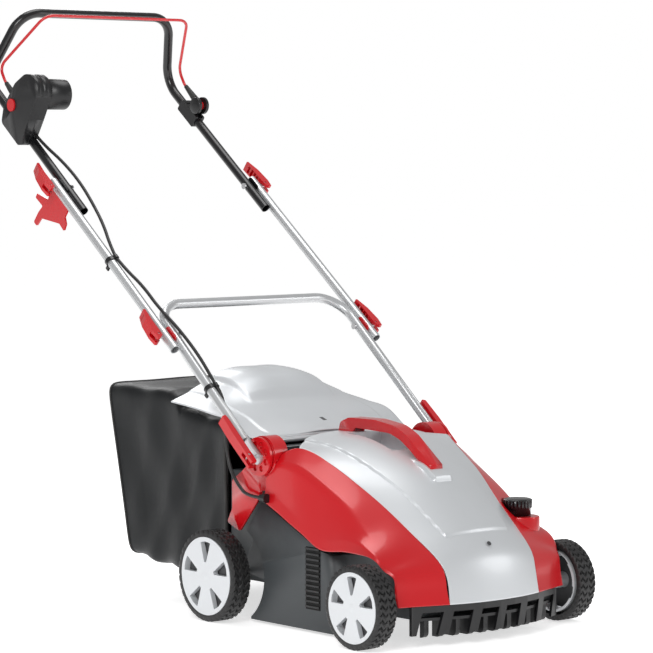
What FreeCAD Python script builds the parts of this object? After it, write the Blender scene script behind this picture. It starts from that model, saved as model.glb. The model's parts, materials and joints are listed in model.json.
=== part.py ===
"""Walk-behind electric lawn dethatcher, as a parametric FreeCAD document.

Frame: +Z up, the front of the machine towards -Y, +X to the right of a person who
pushes it seen from the front.  The origin is on the ground, under the middle of the
machine's bounding box.  Lengths are millimetres.

Most sub-parts are drawn in the "axle frame", whose origin is on the ground under the
front axle, and are placed by CHASSIS.  The folding handle is drawn in two frames of
its own: LOWER starts at the knuckle pivots and UPPER at the middle fold, and in both
the local x runs up along the tubes and the local y stands square to them.
"""
import FreeCAD, Part
import math
import os
from FreeCAD import Placement, Rotation, Vector

SIZES = [
    ("front_axle_y", -635.0, "front axle, from the origin"),
    ("wheelbase", 487.0, "front axle to rear axle"),
    ("wheel_outer_x", 312.5, "outer face of every wheel"),
    ("wheel_width", 50.0, "width of every tyre"),
    ("front_radius", 87.5, "front tyre"),
    ("front_disc", 73.7, "front wheel disc"),
    ("rear_radius", 100.0, "rear tyre"),
    ("rear_disc", 85.2, "rear wheel disc"),
    ("axle_radius", 6.0, "wheel axles"),
    ("running_gap", 0.06, "radial play of a running fit"),
    ("wall", 3.5, "moulded wall of the deck"),
    ("skin", 3.0, "moulded wall of the covers"),
    ("deck_half", 235.0, "half width of the deck between the wheels"),
    ("tunnel_half", 205.0, "half width of the narrow front and rear of the deck"),
    ("roller_y", 195.0, "tine roller axis, from the front axle"),
    ("roller_z", 88.0, "tine roller axis, above the ground"),
    ("tine_radius", 68.0, "reach of the tines"),
    ("motor_y", 300.0, "motor axis, from the front axle"),
    ("motor_z", 287.0, "motor axis, above the ground"),
    ("motor_radius", 46.0, "motor can"),
    ("motor_pulley", 17.0, "small belt pulley"),
    ("roller_pulley", 30.0, "large belt pulley"),
    ("belt_x", 214.0, "middle of the belt"),
    ("belt_width", 10.0, "toothed belt"),
    ("crank_y", 70.0, "height crank pivot, from the front axle"),
    ("crank_z", 108.0, "height crank pivot, above the ground"),
    ("knob_x", 199.0, "height knob axis"),
    ("knob_y", 42.0, "height knob axis, from the front axle"),
    ("knob_base", 233.0, "underside of the height knob"),
    ("knob_radius", 32.0, "height knob"),
    ("knob_height", 36.0, "height knob"),
    ("knuckle_y", 364.0, "handle pivot, from the front axle"),
    ("knuckle_z", 367.0, "handle pivot, above the ground"),
    ("drum_radius", 44.0, "knuckle drum"),
    ("lower_angle", 40.9, "slope of the lower handle"),
    ("lower_length", 377.0, "knuckle pivot to middle fold"),
    ("upper_angle", 38.4, "slope of the middle and upper handle"),
    ("middle_length", 522.0, "middle fold to upper fold"),
    ("tube_radius", 11.0, "every handle tube"),
    ("tube_wall", 1.5, "every handle tube"),
    ("leg_x", 269.0, "centre of the lower and upper tubes"),
    ("middle_x", 294.0, "centre of the middle tubes"),
    ("bolt_radius", 4.0, "clamp bolts"),
    ("lever_x", 317.0, "cam pin of the clamp levers"),
    ("cable_radius", 3.75, "power cable"),
    ("bail_radius", 3.5, "safety bail rod"),
    ("bail_s", 797.0, "bail pivot, along the upper handle"),
    ("bail_p", 36.0, "bail pivot, above the upper handle"),
    ("button_radius", 15.0, "start button"),
    ("bag_half", 210.0, "half width of the collection bag"),
    ("bag_wall", 2.0, "bag cloth"),
]

doc = FreeCAD.newDocument("lawn_dethatcher")
sheet = doc.addObject("Spreadsheet::Sheet", "Sizes")
for row, (alias, value, meaning) in enumerate(SIZES, 1):
    sheet.set(f"A{row}", meaning)
    sheet.set(f"B{row}", str(value))
    sheet.setAlias(f"B{row}", alias)
doc.recompute()


def size(alias):
    """Number in the sheet's cell of that name."""
    return float(getattr(sheet, alias))


FRONT_Y = size("front_axle_y")
BASE = size("wheelbase")
LEG_X = size("leg_x")
MID_X = size("middle_x")
TUBE = size("tube_radius")
BOLT = size("bolt_radius")
GAP = size("running_gap")
SIDES = {"left": -1, "right": 1}
CHASSIS = Placement(Vector(0, FRONT_Y, 0), Rotation())


def handle_frame(y, z, angle):
    """Placement whose x runs up the tubes, y square to them and z to the machine's side."""
    turn = math.radians(angle)
    along = Vector(0, math.cos(turn), math.sin(turn))
    square = Vector(0, -math.sin(turn), math.cos(turn))
    return Placement(Vector(0, y, z), Rotation(along, square, Vector(1, 0, 0), "XYZ"))


KNUCKLE = Vector(0, FRONT_Y + size("knuckle_y"), size("knuckle_z"))
LOWER = handle_frame(KNUCKLE.y, KNUCKLE.z, size("lower_angle"))
FOLD = LOWER.multVec(Vector(size("lower_length"), 0, 0))
UPPER = handle_frame(FOLD.y, FOLD.z, size("upper_angle"))

parts = []


def keep(obj, node, placement=None):
    """Label a finished sub-part with its node name, place it and list it."""
    obj.Label = node
    if placement is not None:
        obj.Placement = placement
    parts.append(obj)
    return obj


def solid(node, shape, placement=None):
    """Sub-part whose shape is made by Part's own functions."""
    obj = doc.addObject("Part::Feature", node)
    obj.Shape = shape
    return keep(obj, node, placement)


def corner_path(points, radii, closed=False):
    """Line segments and tangent arcs through a list of corners.

    A radius of 0 keeps that corner sharp.
    """
    count = len(points)
    inner = range(count) if closed else range(1, count - 1)
    entry = {}
    for i in inner:
        radius = radii[i] if isinstance(radii, (list, tuple)) else radii
        here = points[i]
        back = (points[i - 1] - here).normalize()
        ahead = (points[(i + 1) % count] - here).normalize()
        half = back.getAngle(ahead) / 2
        if radius <= 0 or half > math.radians(89.5):
            continue
        reach = radius / math.tan(half)
        middle = (back + ahead).normalize() * (radius / math.sin(half) - radius)
        entry[i] = (here + back * reach, here + middle, here + ahead * reach)
    edges = []
    first = entry[0][2] if 0 in entry else points[0]
    last = first
    for i in list(range(1, count)) + ([0] if closed else []):
        stop = entry[i][0] if i in entry else points[i]
        if (stop - last).Length > 1e-6:
            edges.append(Part.LineSegment(last, stop))
        last = stop
        if i in entry:
            edges.append(Part.Arc(*entry[i]))
            last = entry[i][2]
    return edges


def face_of(points, radii=0, plane="XY"):
    """Flat face inside a rounded polygon given by pairs of numbers."""
    lift = {
        "XY": lambda u, v: Vector(u, v, 0),
        "YZ": lambda u, v: Vector(0, u, v),
        "XZ": lambda u, v: Vector(u, 0, v),
    }[plane]
    edges = corner_path([lift(u, v) for u, v in points], radii, closed=True)
    return Part.Face(Part.Wire([edge.toShape() for edge in edges]))


def slab(points, low, high, radii=0, plane="XY"):
    """Rounded polygon pushed from low to high along its normal."""
    axis = {"XY": Vector(0, 0, 1), "YZ": Vector(1, 0, 0), "XZ": Vector(0, 1, 0)}[plane]
    face = face_of(points, radii, plane)
    face.translate(axis * low)
    return face.extrude(axis * (high - low))


def rod(start, end, radius):
    """Round bar from one point to another."""
    start, end = Vector(*start), Vector(*end)
    return Part.makeCylinder(radius, (end - start).Length, start, end - start)


def block(x0, x1, y0, y1, z0, z1):
    """Box between two opposite corners."""
    return Part.makeBox(x1 - x0, y1 - y0, z1 - z0, Vector(x0, y0, z0))


def swept(edges, radius, bore=0.0):
    """Round bar, or tube with a bore, along a path of lines and tangent arcs."""
    path = Part.Wire([edge.toShape() for edge in edges])
    start = path.OrderedVertexes[0].Point
    heading = path.OrderedEdges[0].tangentAt(path.OrderedEdges[0].FirstParameter)
    if path.OrderedEdges[0].Orientation == "Reversed":
        heading = heading * -1

    def along(r):
        ring = Part.Wire([Part.makeCircle(r, start, heading)])
        return path.makePipeShell([ring], True, False)

    body = along(radius)
    return body.cut(along(bore)) if bore > 0 else body


def moved(shape, placement):
    """Copy of the shape, drawn in that placement's own frame, put in the machine's."""
    shape = shape.copy()
    shape.Placement = placement.multiply(shape.Placement)
    return shape


def both_sides(shape):
    """The shape and its mirror image across the middle plane, as separate solids."""
    return Part.makeCompound([shape, shape.mirror(Vector(0, 0, 0), Vector(1, 0, 0))])


def body_sketch(body, role, edges, name):
    """Sketch on one of the body's own origin planes."""
    plane = [p for p in body.Origin.OriginFeatures if p.Role == role][0]
    sketch = body.newObject("Sketcher::SketchObject", name)
    sketch.AttachmentSupport = [(plane, "")]
    sketch.MapMode = "FlatFace"
    sketch.addGeometry(edges, False)
    return sketch


def flat_edges(points, radii=0):
    """Closed outline for a sketch, from pairs of numbers."""
    return corner_path([Vector(u, v, 0) for u, v in points], radii, closed=True)


def pad(body, role, points, length, radii=0, symmetric=True, name="pad"):
    """Pad of an outline; length is an expression on the sheet."""
    sketch = body_sketch(body, role, flat_edges(points, radii), name + "_sketch")
    feature = body.newObject("PartDesign::Pad", name)
    feature.Profile = sketch
    feature.SideType = "Symmetric" if symmetric else "One side"
    feature.setExpression("Length", length)
    return feature


def pocket(body, role, points, length, radii=0, symmetric=True, name="pocket"):
    """Pocket of an outline; length is an expression on the sheet."""
    sketch = body_sketch(body, role, flat_edges(points, radii), name + "_sketch")
    feature = body.newObject("PartDesign::Pocket", name)
    feature.Profile = sketch
    feature.SideType = "Symmetric" if symmetric else "One side"
    feature.setExpression("Length", length)
    return feature


def turned(name, points, radii=0):
    """Body turned about its own Z axis from a profile of (radius, height) pairs."""
    body = doc.addObject("PartDesign::Body", name)
    sketch = body_sketch(body, "XZ_Plane", flat_edges(points, radii), name + "_profile")
    axis = [a for a in body.Origin.OriginFeatures if a.Role == "Z_Axis"][0]
    feature = body.newObject("PartDesign::Revolution", name + "_turn")
    feature.Profile = sketch
    feature.ReferenceAxis = (axis, [""])
    feature.Angle = 360
    return body


def curve_through(points):
    """Smooth edge through points."""
    curve = Part.BSplineCurve()
    curve.interpolate([Vector(*p) for p in points])
    return curve.toShape()


def thin_cover(outer, inner):
    """Solid between an outer and an inner run of lengthwise curves.

    outer and inner are lists of curves, each a list of points from front to rear.
    """
    outer_edges = [curve_through(points) for points in outer]
    inner_edges = [curve_through(points) for points in inner]
    loop = outer_edges + inner_edges[::-1]
    faces = [Part.makeRuledSurface(a, b) for a, b in zip(loop, loop[1:] + loop[:1])]
    for end in (0, -1):
        for k in range(len(outer) - 1):
            top = Part.makeLine(Vector(*outer[k][end]), Vector(*outer[k + 1][end]))
            low = Part.makeLine(Vector(*inner[k][end]), Vector(*inner[k + 1][end]))
            faces.append(Part.makeRuledSurface(top, low))
    shell = Part.makeShell(faces)
    shell.sewShape()
    cover = Part.Solid(shell)
    if cover.Volume < 0:
        cover.reverse()
    return cover


# ---------------------------------------------------------------- deck

ARCH_RADIUS = 108.0
DECK_TOP = [(441, 198), (385, 266), (189, 178), (150, 172)]


def deck_side_face(shrink):
    """Side view of the wide part of the deck, with the rear wheel's arch.

    shrink pulls the top and front inwards by a wall and opens the bottom.
    """
    low = -20.0 if shrink else 6.0
    reach = ARCH_RADIUS + shrink

    def arch(z):
        return BASE - math.sqrt(reach ** 2 - (100 - z) ** 2)

    top = [Vector(0, y - shrink * 0.6, z - shrink * 1.2) for y, z in DECK_TOP]
    top[0].y = arch(top[0].z)
    top[-1].y = 150 + shrink
    start = Vector(0, 150 + shrink, low)
    foot = Vector(0, arch(12), 12)
    corner = Vector(0, foot.y, low)
    edges = [
        Part.LineSegment(start, corner),
        Part.LineSegment(corner, foot),
        Part.Arc(foot, Vector(0, BASE - reach, 100), top[0]),
        Part.LineSegment(top[0], top[1]),
        Part.LineSegment(top[1], top[2]),
        Part.LineSegment(top[2], top[3]),
        Part.LineSegment(top[3], start),
    ]
    return Part.Face(Part.Wire([edge.toShape() for edge in edges]))


def make_deck():
    """Moulded deck: wide middle, narrow front tunnel, rear chute and roller cheeks."""
    half, narrow, wall = size("deck_half"), size("tunnel_half"), size("wall")

    def across(face, reach):
        face = face.copy()
        face.translate(Vector(-reach, 0, 0))
        return face.extrude(Vector(2 * reach, 0, 0))

    front = [(-58, 60), (-58, 118), (-8, 168), (54, 184), (152, 172), (152, 8), (96, 8), (90, 60)]
    front_hollow = [(-62, -20), (-54, 50), (-54, 114), (-6, 163), (54, 180), (156, 167), (156, -20)]
    rear = [(386, 84), (530, 84), (530, 322), (386, 322)]
    chute = [(370, 125), (540, 125), (540, 318), (394, 318), (388, 254), (370, 246)]
    bridge_hollow = [(355, 240), (385, 256), (385, 381), (355, 381)]
    under = [(390, 70), (526, 70), (526, 121), (390, 121)]
    deck = across(deck_side_face(0), half)
    deck = deck.fuse(slab(front, -narrow, narrow, plane="YZ"))
    deck = deck.fuse(slab(rear, -narrow, narrow, plane="YZ"))
    bridge = [(352, 262), (389, 262), (389, 384), (352, 384)]
    deck = deck.fuse(slab(bridge, -narrow, narrow, plane="YZ"))
    deck = deck.cut(across(deck_side_face(wall), half - wall))
    deck = deck.cut(slab(front_hollow, wall - narrow, narrow - wall, plane="YZ"))
    deck = deck.cut(slab(bridge_hollow, wall - narrow, narrow - wall, plane="YZ"))
    deck = deck.cut(slab(chute, wall - narrow, narrow - wall, plane="YZ"))
    deck = deck.cut(slab(under, wall - narrow, narrow - wall, plane="YZ"))
    cheek = [(153, 10), (262, 10), (262, 206), (200, 178), (153, 170)]
    for side in (-1, 1):
        ends = sorted((side * narrow, side * (narrow - wall)))
        deck = deck.fuse(slab(cheek, *ends, plane="YZ"))
    roller = Vector(0, size("roller_y"), size("roller_z"))
    deck = deck.cut(rod((-212, roller.y, roller.z), (212, roller.y, roller.z), 18.0))
    belt_slot = block(204, 228, 172, 330, 150, 262)
    belt_slot = belt_slot.cut(block(200, 230, 160, 174, 140, 270))
    deck = deck.cut(belt_slot)
    for y, z in ((size("crank_y"), size("crank_z")), (BASE, size("rear_radius"))):
        deck = deck.cut(rod((-230, y, z), (230, y, z), size("axle_radius") + GAP))
    solid("deck_housing", deck.removeSplitter(), CHASSIS)


def bow(x):
    """How far the front of the covers lies ahead of the front axle at x."""
    return -117 + 20 * (x / 127) ** 2 if abs(x) <= 127 else -97 + (abs(x) - 127) * 29 / 81


def make_front_comb():
    """Dark front rail with slanted teeth, and the rounded guide ribs behind it."""
    reach, step, tooth = 208, 67.6, 22
    xs = [-reach, -127, -85, -43, 0, 43, 85, 127, reach]
    outer = [(x, bow(x) + 1.5) for x in xs]
    inner = [(x * 0.985, bow(x) + 7.5) for x in reversed(xs)]
    rail = slab(outer + inner, 73, 86, plane="XY")
    plate = slab(outer + inner, 26, 73.5, plane="XY")
    for k in range(-3, 3):
        x = (k + 0.5) * step
        lean = 7
        window = [
            (x - step / 2 + tooth / 2 - lean, 20), (x + step / 2 - tooth / 2 - lean, 20),
            (x + step / 2 - tooth / 2 + lean, 73.3), (x - step / 2 + tooth / 2 + lean, 73.3),
        ]
        plate = plate.cut(slab(window, -140, -20, plane="XZ"))
    comb = rail.fuse(plate)
    for side in (-1, 1):
        ends = sorted((side * (reach - 5), side * reach))
        comb = comb.fuse(slab([(-68, 26), (-68, 86), (-60.5, 86), (-60.5, 26)], *ends, plane="YZ"))
    ribs = []
    for k in range(-5, 6):
        x = k * step / 2
        nose = bow(x) + 12
        profile = [(-56, 60), (nose, 60), (nose, 19), (-56, 19)]
        ribs.append(slab(profile, x - 6, x + 6, radii=[0, 3, 12, 0], plane="YZ"))
    beam = [(x * 0.97, bow(x) + 6.5) for x in xs] + [(x * 0.97, -58.5) for x in reversed(xs)]
    comb = comb.fuse(slab(beam, 55, 61, plane="XY"))
    comb = comb.fuse(ribs)
    solid("front_comb", comb.removeSplitter(), CHASSIS)


def make_louvres():
    """Twelve cooling slats in each side of the deck, behind the front wheel."""
    pitch, thick = 11.2, 5.2
    slats = []
    for k in range(12):
        z = 54 + k * pitch
        profile = [(235, z), (239, z + 1.2), (239, z + thick), (235, z + thick)]
        slats.append(slab(profile, 191, 236, plane="XZ"))
    one_side = Part.makeCompound(slats)
    both = [solid_ for side in (one_side, one_side.mirror(Vector(), Vector(1, 0, 0)))
            for solid_ in side.Solids]
    solid("side_louvres", Part.makeCompound(both), CHASSIS)


# ---------------------------------------------------------------- covers

# Border between hood and side shell: x, y, z from the front edge to the rear corner.
HOOD_EDGE = [
    (127, -97, 87), (126, -86, 143), (129, -77, 163), (136, -45, 194), (145, 1, 226),
    (161, 83, 284), (180, 158, 332), (190, 211, 360), (204, 260, 383), (213, 283, 390),
]
# Middle line of the hood at the same ten stations: y, z.
HOOD_CROWN = [
    (-117, 87), (-105, 147), (-96, 172), (-70, 206), (-25, 245),
    (73, 322), (165, 370), (225, 391), (300, 402), (383, 402),
]
HOOD_ACROSS = [-1, -0.84, -0.6, -0.3, 0, 0.3, 0.6, 0.84, 1]


def hood_row(station, drop):
    """Points across the hood at one station, drop below its outer face."""
    x, y, z = HOOD_EDGE[station]
    crown_y, crown_z = HOOD_CROWN[station]
    upright = 1.0 - min(1.0, station / 4.0)
    row = []
    for u in HOOD_ACROSS:
        full = 1 - abs(u) ** 2.2
        row.append((
            u * (x - 0.5 - 0.3 * drop),
            y + (crown_y - y) * full + drop * (0.35 + 0.65 * upright),
            z + (crown_z - z) * full - drop * (1 - 0.75 * upright),
        ))
    return row


def make_hood():
    """Silver hood over the motor, as a thin crowned cover."""
    skin = size("skin")
    outer_rows = [hood_row(k, 0.0) for k in range(len(HOOD_EDGE))]
    inner_rows = [hood_row(k, skin) for k in range(len(HOOD_EDGE))]
    outer = [list(curve) for curve in zip(*outer_rows)]
    inner = [list(curve) for curve in zip(*inner_rows)]
    hood = thin_cover(outer, inner)
    tub = [(176, 366), (324, 366), (324, 400.3), (300, 400.3), (225, 389.4), (176, 372.5)]
    scoop = [(179, 369), (321, 369), (321, 430), (179, 430)]
    tub = slab(tub, -46, 46, plane="YZ")
    scoop = slab(scoop, -43, 43, plane="YZ")
    hood = hood.fuse(tub).cut(scoop)
    hole = rod((0, -110, 201), (0, -40, 201), 4.5)
    solid("hood_cover", hood.cut(hole).removeSplitter(), CHASSIS)


# Side shell stations from the fascia to the knuckle: hood border, shoulder, top and
# bottom of the light ledge.  Each gives its y, and the (x, z) of the four lines; the
# first two stations lean back outwards, by the distances in NOSE_LEAN.
NOSE_LEAN = {-76: (0, 24, 29, 29), -46: (0, 10, 12, 12)}
SHELL_STATIONS = [
    (-76, (130, 163), (211, 160), (235, 155), (239, 150)),
    (-46, (136.5, 192), (214, 171), (243, 167), (248, 161)),
    (-19, (142, 212), (218, 186), (250, 182), (255, 176)),
    (42, (153, 256), (225, 227), (252, 212), (256, 190)),
    (102, (166, 297), (228, 271), (252, 215), (256, 188)),
    (172, (183, 340), (234, 309), (252, 211), (256, 187)),
    (219, (192, 364), (238, 333), (252, 236), (256, 209)),
    (267, (207, 385), (245, 353), (252, 259), (256, 231)),
    (300, (222, 385), (248, 356), (252, 276), (256, 247)),
    (334, (240, 356), (250, 344), (252, 292), (256, 262)),
    (352, (246, 327), (251, 320), (252, 298), (256, 270)),
]


def make_side_shell(side):
    """Red side shell of one side: shoulder band, wall, ledge and front corner."""
    skin = size("skin")
    outer = [[], [], [], []]
    inner = [[], [], [], []]
    for y, hood, shoulder, ledge_top, ledge_low in SHELL_STATIONS:
        lean = NOSE_LEAN.get(y, (0, 0, 0, 0))
        for k, (x, z) in enumerate((hood, shoulder, ledge_top, ledge_low)):
            outer[k].append((x + (0.5 if k == 0 else 0), y + lean[k], z))
        pulls = ((1.0, -skin), (-skin, -skin), (-skin, -0.5), (-skin, 0.0))
        for k, (x, z) in enumerate((hood, shoulder, ledge_top, ledge_low)):
            inner[k].append((x + pulls[k][0], y + lean[k], z + pulls[k][1]))
    shell = thin_cover(outer, inner)
    corner = [(127.5, -97), (208, -68), (236, -60), (233.5, -57), (207, -64.6), (128.5, -93.2)]
    top = [(131, -76), (211, -52), (235, -47), (232.6, -44), (210, -48.6), (132, -72)]

    def ring(points, z):
        return Part.makePolygon([Vector(x, y, z) for x, y in points + points[:1]])

    fascia = Part.makeLoft([ring(corner, 87), ring(top, 156)], True, True)
    cheek = [
        (-58.5, 88), (-57, 88), (-51, 124), (-45, 144), (-30, 163), (-9, 174), (-8, 179),
        (-20, 174), (-36, 157), (-46.5, 150), (-53, 118),
    ]
    cheek = slab(cheek, 229.0, 232.3, plane="YZ")
    if side > 0:
        shell = add_turret(shell)
    pivot = (size("knuckle_y"), size("knuckle_z"))
    shell = shell.cut(rod((190, *pivot), (280, *pivot), size("drum_radius") + 0.6))
    shell = shell.cut(slab(ARM_OUTLINE, 239.5, 247.5, plane="YZ"))
    if side < 0:
        shell = shell.mirror(Vector(), Vector(1, 0, 0))
        shell = shell.cut(rod((-261, 335.9, 279), (-261, 360, 279), 10.05))
        fascia, cheek = (s.mirror(Vector(), Vector(1, 0, 0)) for s in (fascia, cheek))
    name = "side_shell_left" if side < 0 else "side_shell_right"
    solid(name, Part.makeCompound([shell.removeSplitter(), fascia, cheek]), CHASSIS)


# Side view of the knuckle's bracket.
ARM_OUTLINE = [
    (322, 350), (334, 300), (375, 290), (388, 268), (450, 197), (492, 213), (474, 244),
    (474, 306), (440, 328), (408, 352),
]
TURRET = Vector(203, 30, 0)
TURRET_RADIUS = 38.0


def add_turret(shell):
    """Round turret that carries the height knob in a well, with the spindle's bore."""
    top = size("knob_base") - 1.0
    knob = Vector(size("knob_x"), size("knob_y"), 0)

    def drum(radius, low, high):
        return rod((TURRET.x, TURRET.y, low), (TURRET.x, TURRET.y, high), radius)

    well = rod((knob.x, knob.y, top), (knob.x, knob.y, 330), size("knob_radius") + 2.5)
    turret = drum(TURRET_RADIUS, 196, top).cut(drum(TURRET_RADIUS - 3, 190, top - 4))
    lining = rod((knob.x, knob.y, top - 4), (knob.x, knob.y, 330), size("knob_radius") + 5.5)
    above = Part.makeBox(400, 400, 300, Vector(-200, -200, 0))
    above.Placement = Placement(Vector(knob.x, knob.y, 238.5), Rotation(Vector(0, 0, 1),
                                                                       Vector(0.4, -0.6, 1)))
    shell = shell.fuse(turret).fuse(lining.cut(above)).cut(well)
    bore = rod((knob.x, knob.y, 150), (knob.x, knob.y, 300), 9.06)
    return shell.cut(bore)


def make_knob():
    """Height knob: ribbed cap, and the cam spindle below it."""
    radius, height = size("knob_radius"), size("knob_height")
    body = turned("height_knob", [
        (0, 0), (radius - 3, 0), (radius - 3, 15), (radius, 17), (radius, height - 2),
        (radius - 5, height), (0, height),
    ])
    flute = pocket(body, "XY_Plane", [
        (radius - 1.2, -1.6), (radius + 4, -1.6), (radius + 4, 1.6), (radius - 1.2, 1.6),
    ], "Sizes.knob_height * 0.9", symmetric=False, name="flute")
    flute.Reversed = True
    doc.recompute()
    before = body.Shape.Volume
    pattern = body.newObject("PartDesign::PolarPattern", "flutes")
    pattern.Originals = [flute]
    axis = [a for a in body.Origin.OriginFeatures if a.Role == "Z_Axis"][0]
    pattern.Axis = (axis, [""])
    pattern.Angle = 360
    pattern.Occurrences = 24
    body.Tip = pattern
    doc.recompute()
    if body.Shape.Volume > before:
        raise RuntimeError("the knob's flutes cut nothing")
    place = Placement(Vector(size("knob_x"), FRONT_Y + size("knob_y"), size("knob_base")), Rotation())
    keep(body, "height_knob", place)
    spindle = doc.addObject("Part::Cylinder", "cam_spindle")
    spindle.setExpression("Radius", "9")
    spindle.setExpression("Height", "46")
    spindle.Placement = Placement(place.Base - Vector(0, 0, 46), Rotation())
    keep(spindle, "cam_spindle")


def make_carry_handle():
    """Bow-shaped lifting handle along the middle of the hood."""
    body = doc.addObject("PartDesign::Body", "carry_handle")
    outline = [
        (386, 404), (380, 426), (352, 437), (268, 438), (198, 429), (160, 411), (84, 353),
        (82, 331.5), (99, 340), (150, 380), (182, 400), (216, 412), (330, 416), (340, 404.8),
    ]
    radii = [0, 14, 30, 90, 90, 60, 5, 3, 5, 40, 40, 60, 8, 0]
    pad(body, "YZ_Plane", outline, "34", radii, name="grip")
    finger = [
        (372, 410), (366, 425), (345, 428), (268, 428), (205, 420), (216, 406), (334, 408),
    ]
    pocket(body, "YZ_Plane", finger, "24", name="underside")
    keep(body, "carry_handle", CHASSIS)


# Rear flap stations from its hinge to its rear edge:
# y, half width, height at the side edge, height of the shoulder, height of the middle.
FLAP_STATIONS = [
    (408, 207, 397, 405, 408),
    (448, 226, 405, 416, 420),
    (501, 232, 433, 438, 438),
    (560, 233, 445, 462, 466),
    (606, 234, 452, 492, 503),
    (660, 234, 458, 508, 520),
    (710, 234, 463, 511, 523),
]


def make_rear_flap():
    """Silver deflector flap over the bag's mouth, with its hinge barrel."""
    skin = size("skin")

    def rows(drop):
        table = []
        for y, half, edge, shoulder, middle in FLAP_STATIONS:
            half = half - drop
            table.append([
                (-half, y, edge - drop * 0.4), (-half * 0.72, y, (edge + shoulder) / 2 - drop),
                (-half * 0.47, y, shoulder - drop), (-half * 0.22, y, middle - drop),
                (half * 0.22, y, middle - drop), (half * 0.47, y, shoulder - drop),
                (half * 0.72, y, (edge + shoulder) / 2 - drop), (half, y, edge - drop * 0.4),
            ])
        return [list(curve) for curve in zip(*table)]

    flap = thin_cover(rows(0), rows(skin))
    barrel = rod((-180, 399, 394), (180, 399, 394), 6)
    web = block(-180, 180, 399, 409.5, 396.5, 400)
    flap = flap.fuse(barrel).fuse(web)
    flap = flap.cut(rod((-190, 399, 394), (190, 399, 394), 2.5 + GAP))
    solid("rear_flap", flap, CHASSIS)
    pin = rod((-196, 399, 394), (196, 399, 394), 2.5)
    for side in (-1, 1):
        ends = sorted((side * 183, side * 192))
        post = slab([(391, 322), (407, 322), (405, 399), (393, 399)], *ends, plane="YZ")
        pin = pin.fuse(post)
    solid("flap_hinge", pin, CHASSIS)


# ---------------------------------------------------------------- wheels and axles

def make_wheel(end, side):
    """Tyre and spoked rim of one wheel, turned about the machine's cross axis."""
    radius, disc = size(end + "_radius"), size(end + "_disc")
    width = size("wheel_width")
    bead = disc - 6
    tyre = turned(f"{end}_tyre_{side}", [
        (bead + 0.02, 0), (radius - 4, 0), (radius, 4), (radius, width - 4),
        (radius - 4, width - 1), (disc + 0.3, width - 1), (disc + 0.3, width - 6), (bead + 0.02, width - 6),
    ])
    rim = turned(f"{end}_rim_{side}", [
        (size("axle_radius") + GAP, 0), (17, 0), (17, width - 12), (bead - 6, width - 12),
        (bead - 6, 0), (bead, 0), (bead, width - 6), (disc, width - 6), (disc, width - 1),
        (26, width), (0, width), (0, width - 5), (size("axle_radius") + GAP, width - 5),
    ])
    inner, outer = disc * 0.36, disc * 0.86
    window = pocket(rim, "XY_Plane", [
        (inner, -disc * 0.04), (outer, -disc * 0.20), (outer * 1.04, 0), (outer, disc * 0.20),
        (inner, disc * 0.04),
    ], "Sizes.wheel_width * 2.5", radii=2, symmetric=True, name="window")
    doc.recompute()
    before = rim.Shape.Volume
    pattern = rim.newObject("PartDesign::PolarPattern", "windows")
    pattern.Originals = [window]
    axis = [a for a in rim.Origin.OriginFeatures if a.Role == "Z_Axis"][0]
    pattern.Axis = (axis, [""])
    pattern.Angle = 360
    pattern.Occurrences = 5
    rim.Tip = pattern
    doc.recompute()
    if rim.Shape.Volume >= before:
        raise RuntimeError("the wheel windows cut nothing")
    outward = SIDES[side]
    axle_y = FRONT_Y + (BASE if end == "rear" else 0)
    start = outward * (size("wheel_outer_x") - width)
    turn = Rotation(Vector(0, 0, 1), Vector(outward, 0, 0))
    place = Placement(Vector(start, axle_y, radius), turn)
    keep(tyre, f"{end}_tyre_{side}", place)
    keep(rim, f"{end}_rim_{side}", place)


def make_axles():
    """Rear axle bar, and the front crank that raises and lowers the deck."""
    reach = size("wheel_outer_x") - 6.0
    rear = doc.addObject("Part::Cylinder", "rear_axle")
    rear.setExpression("Radius", "Sizes.axle_radius")
    rear.setExpression("Height", "(Sizes.wheel_outer_x - 6) * 2")
    across = Rotation(Vector(0, 0, 1), Vector(1, 0, 0))
    keep(rear, "rear_axle", Placement(Vector(-reach, FRONT_Y + BASE, size("rear_radius")), across))
    y, z, r = size("crank_y"), size("crank_z"), size("axle_radius")
    crank = rod((-222, y, z), (222, y, z), r)
    for side in (-1, 1):
        ends = sorted((side * 212, side * 222))
        arm = [(y + 10, z), (y, z + 10), (0, size("front_radius") + 10),
               (-10, size("front_radius")), (0, size("front_radius") - 10), (y, z - 10)]
        crank = crank.fuse(slab(arm, *ends, plane="YZ"))
        crank = crank.fuse(rod((side * 212, 0, size("front_radius")),
                               (side * reach, 0, size("front_radius")), r))
    solid("front_crank", crank.removeSplitter(), CHASSIS)


# ---------------------------------------------------------------- drive

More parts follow.
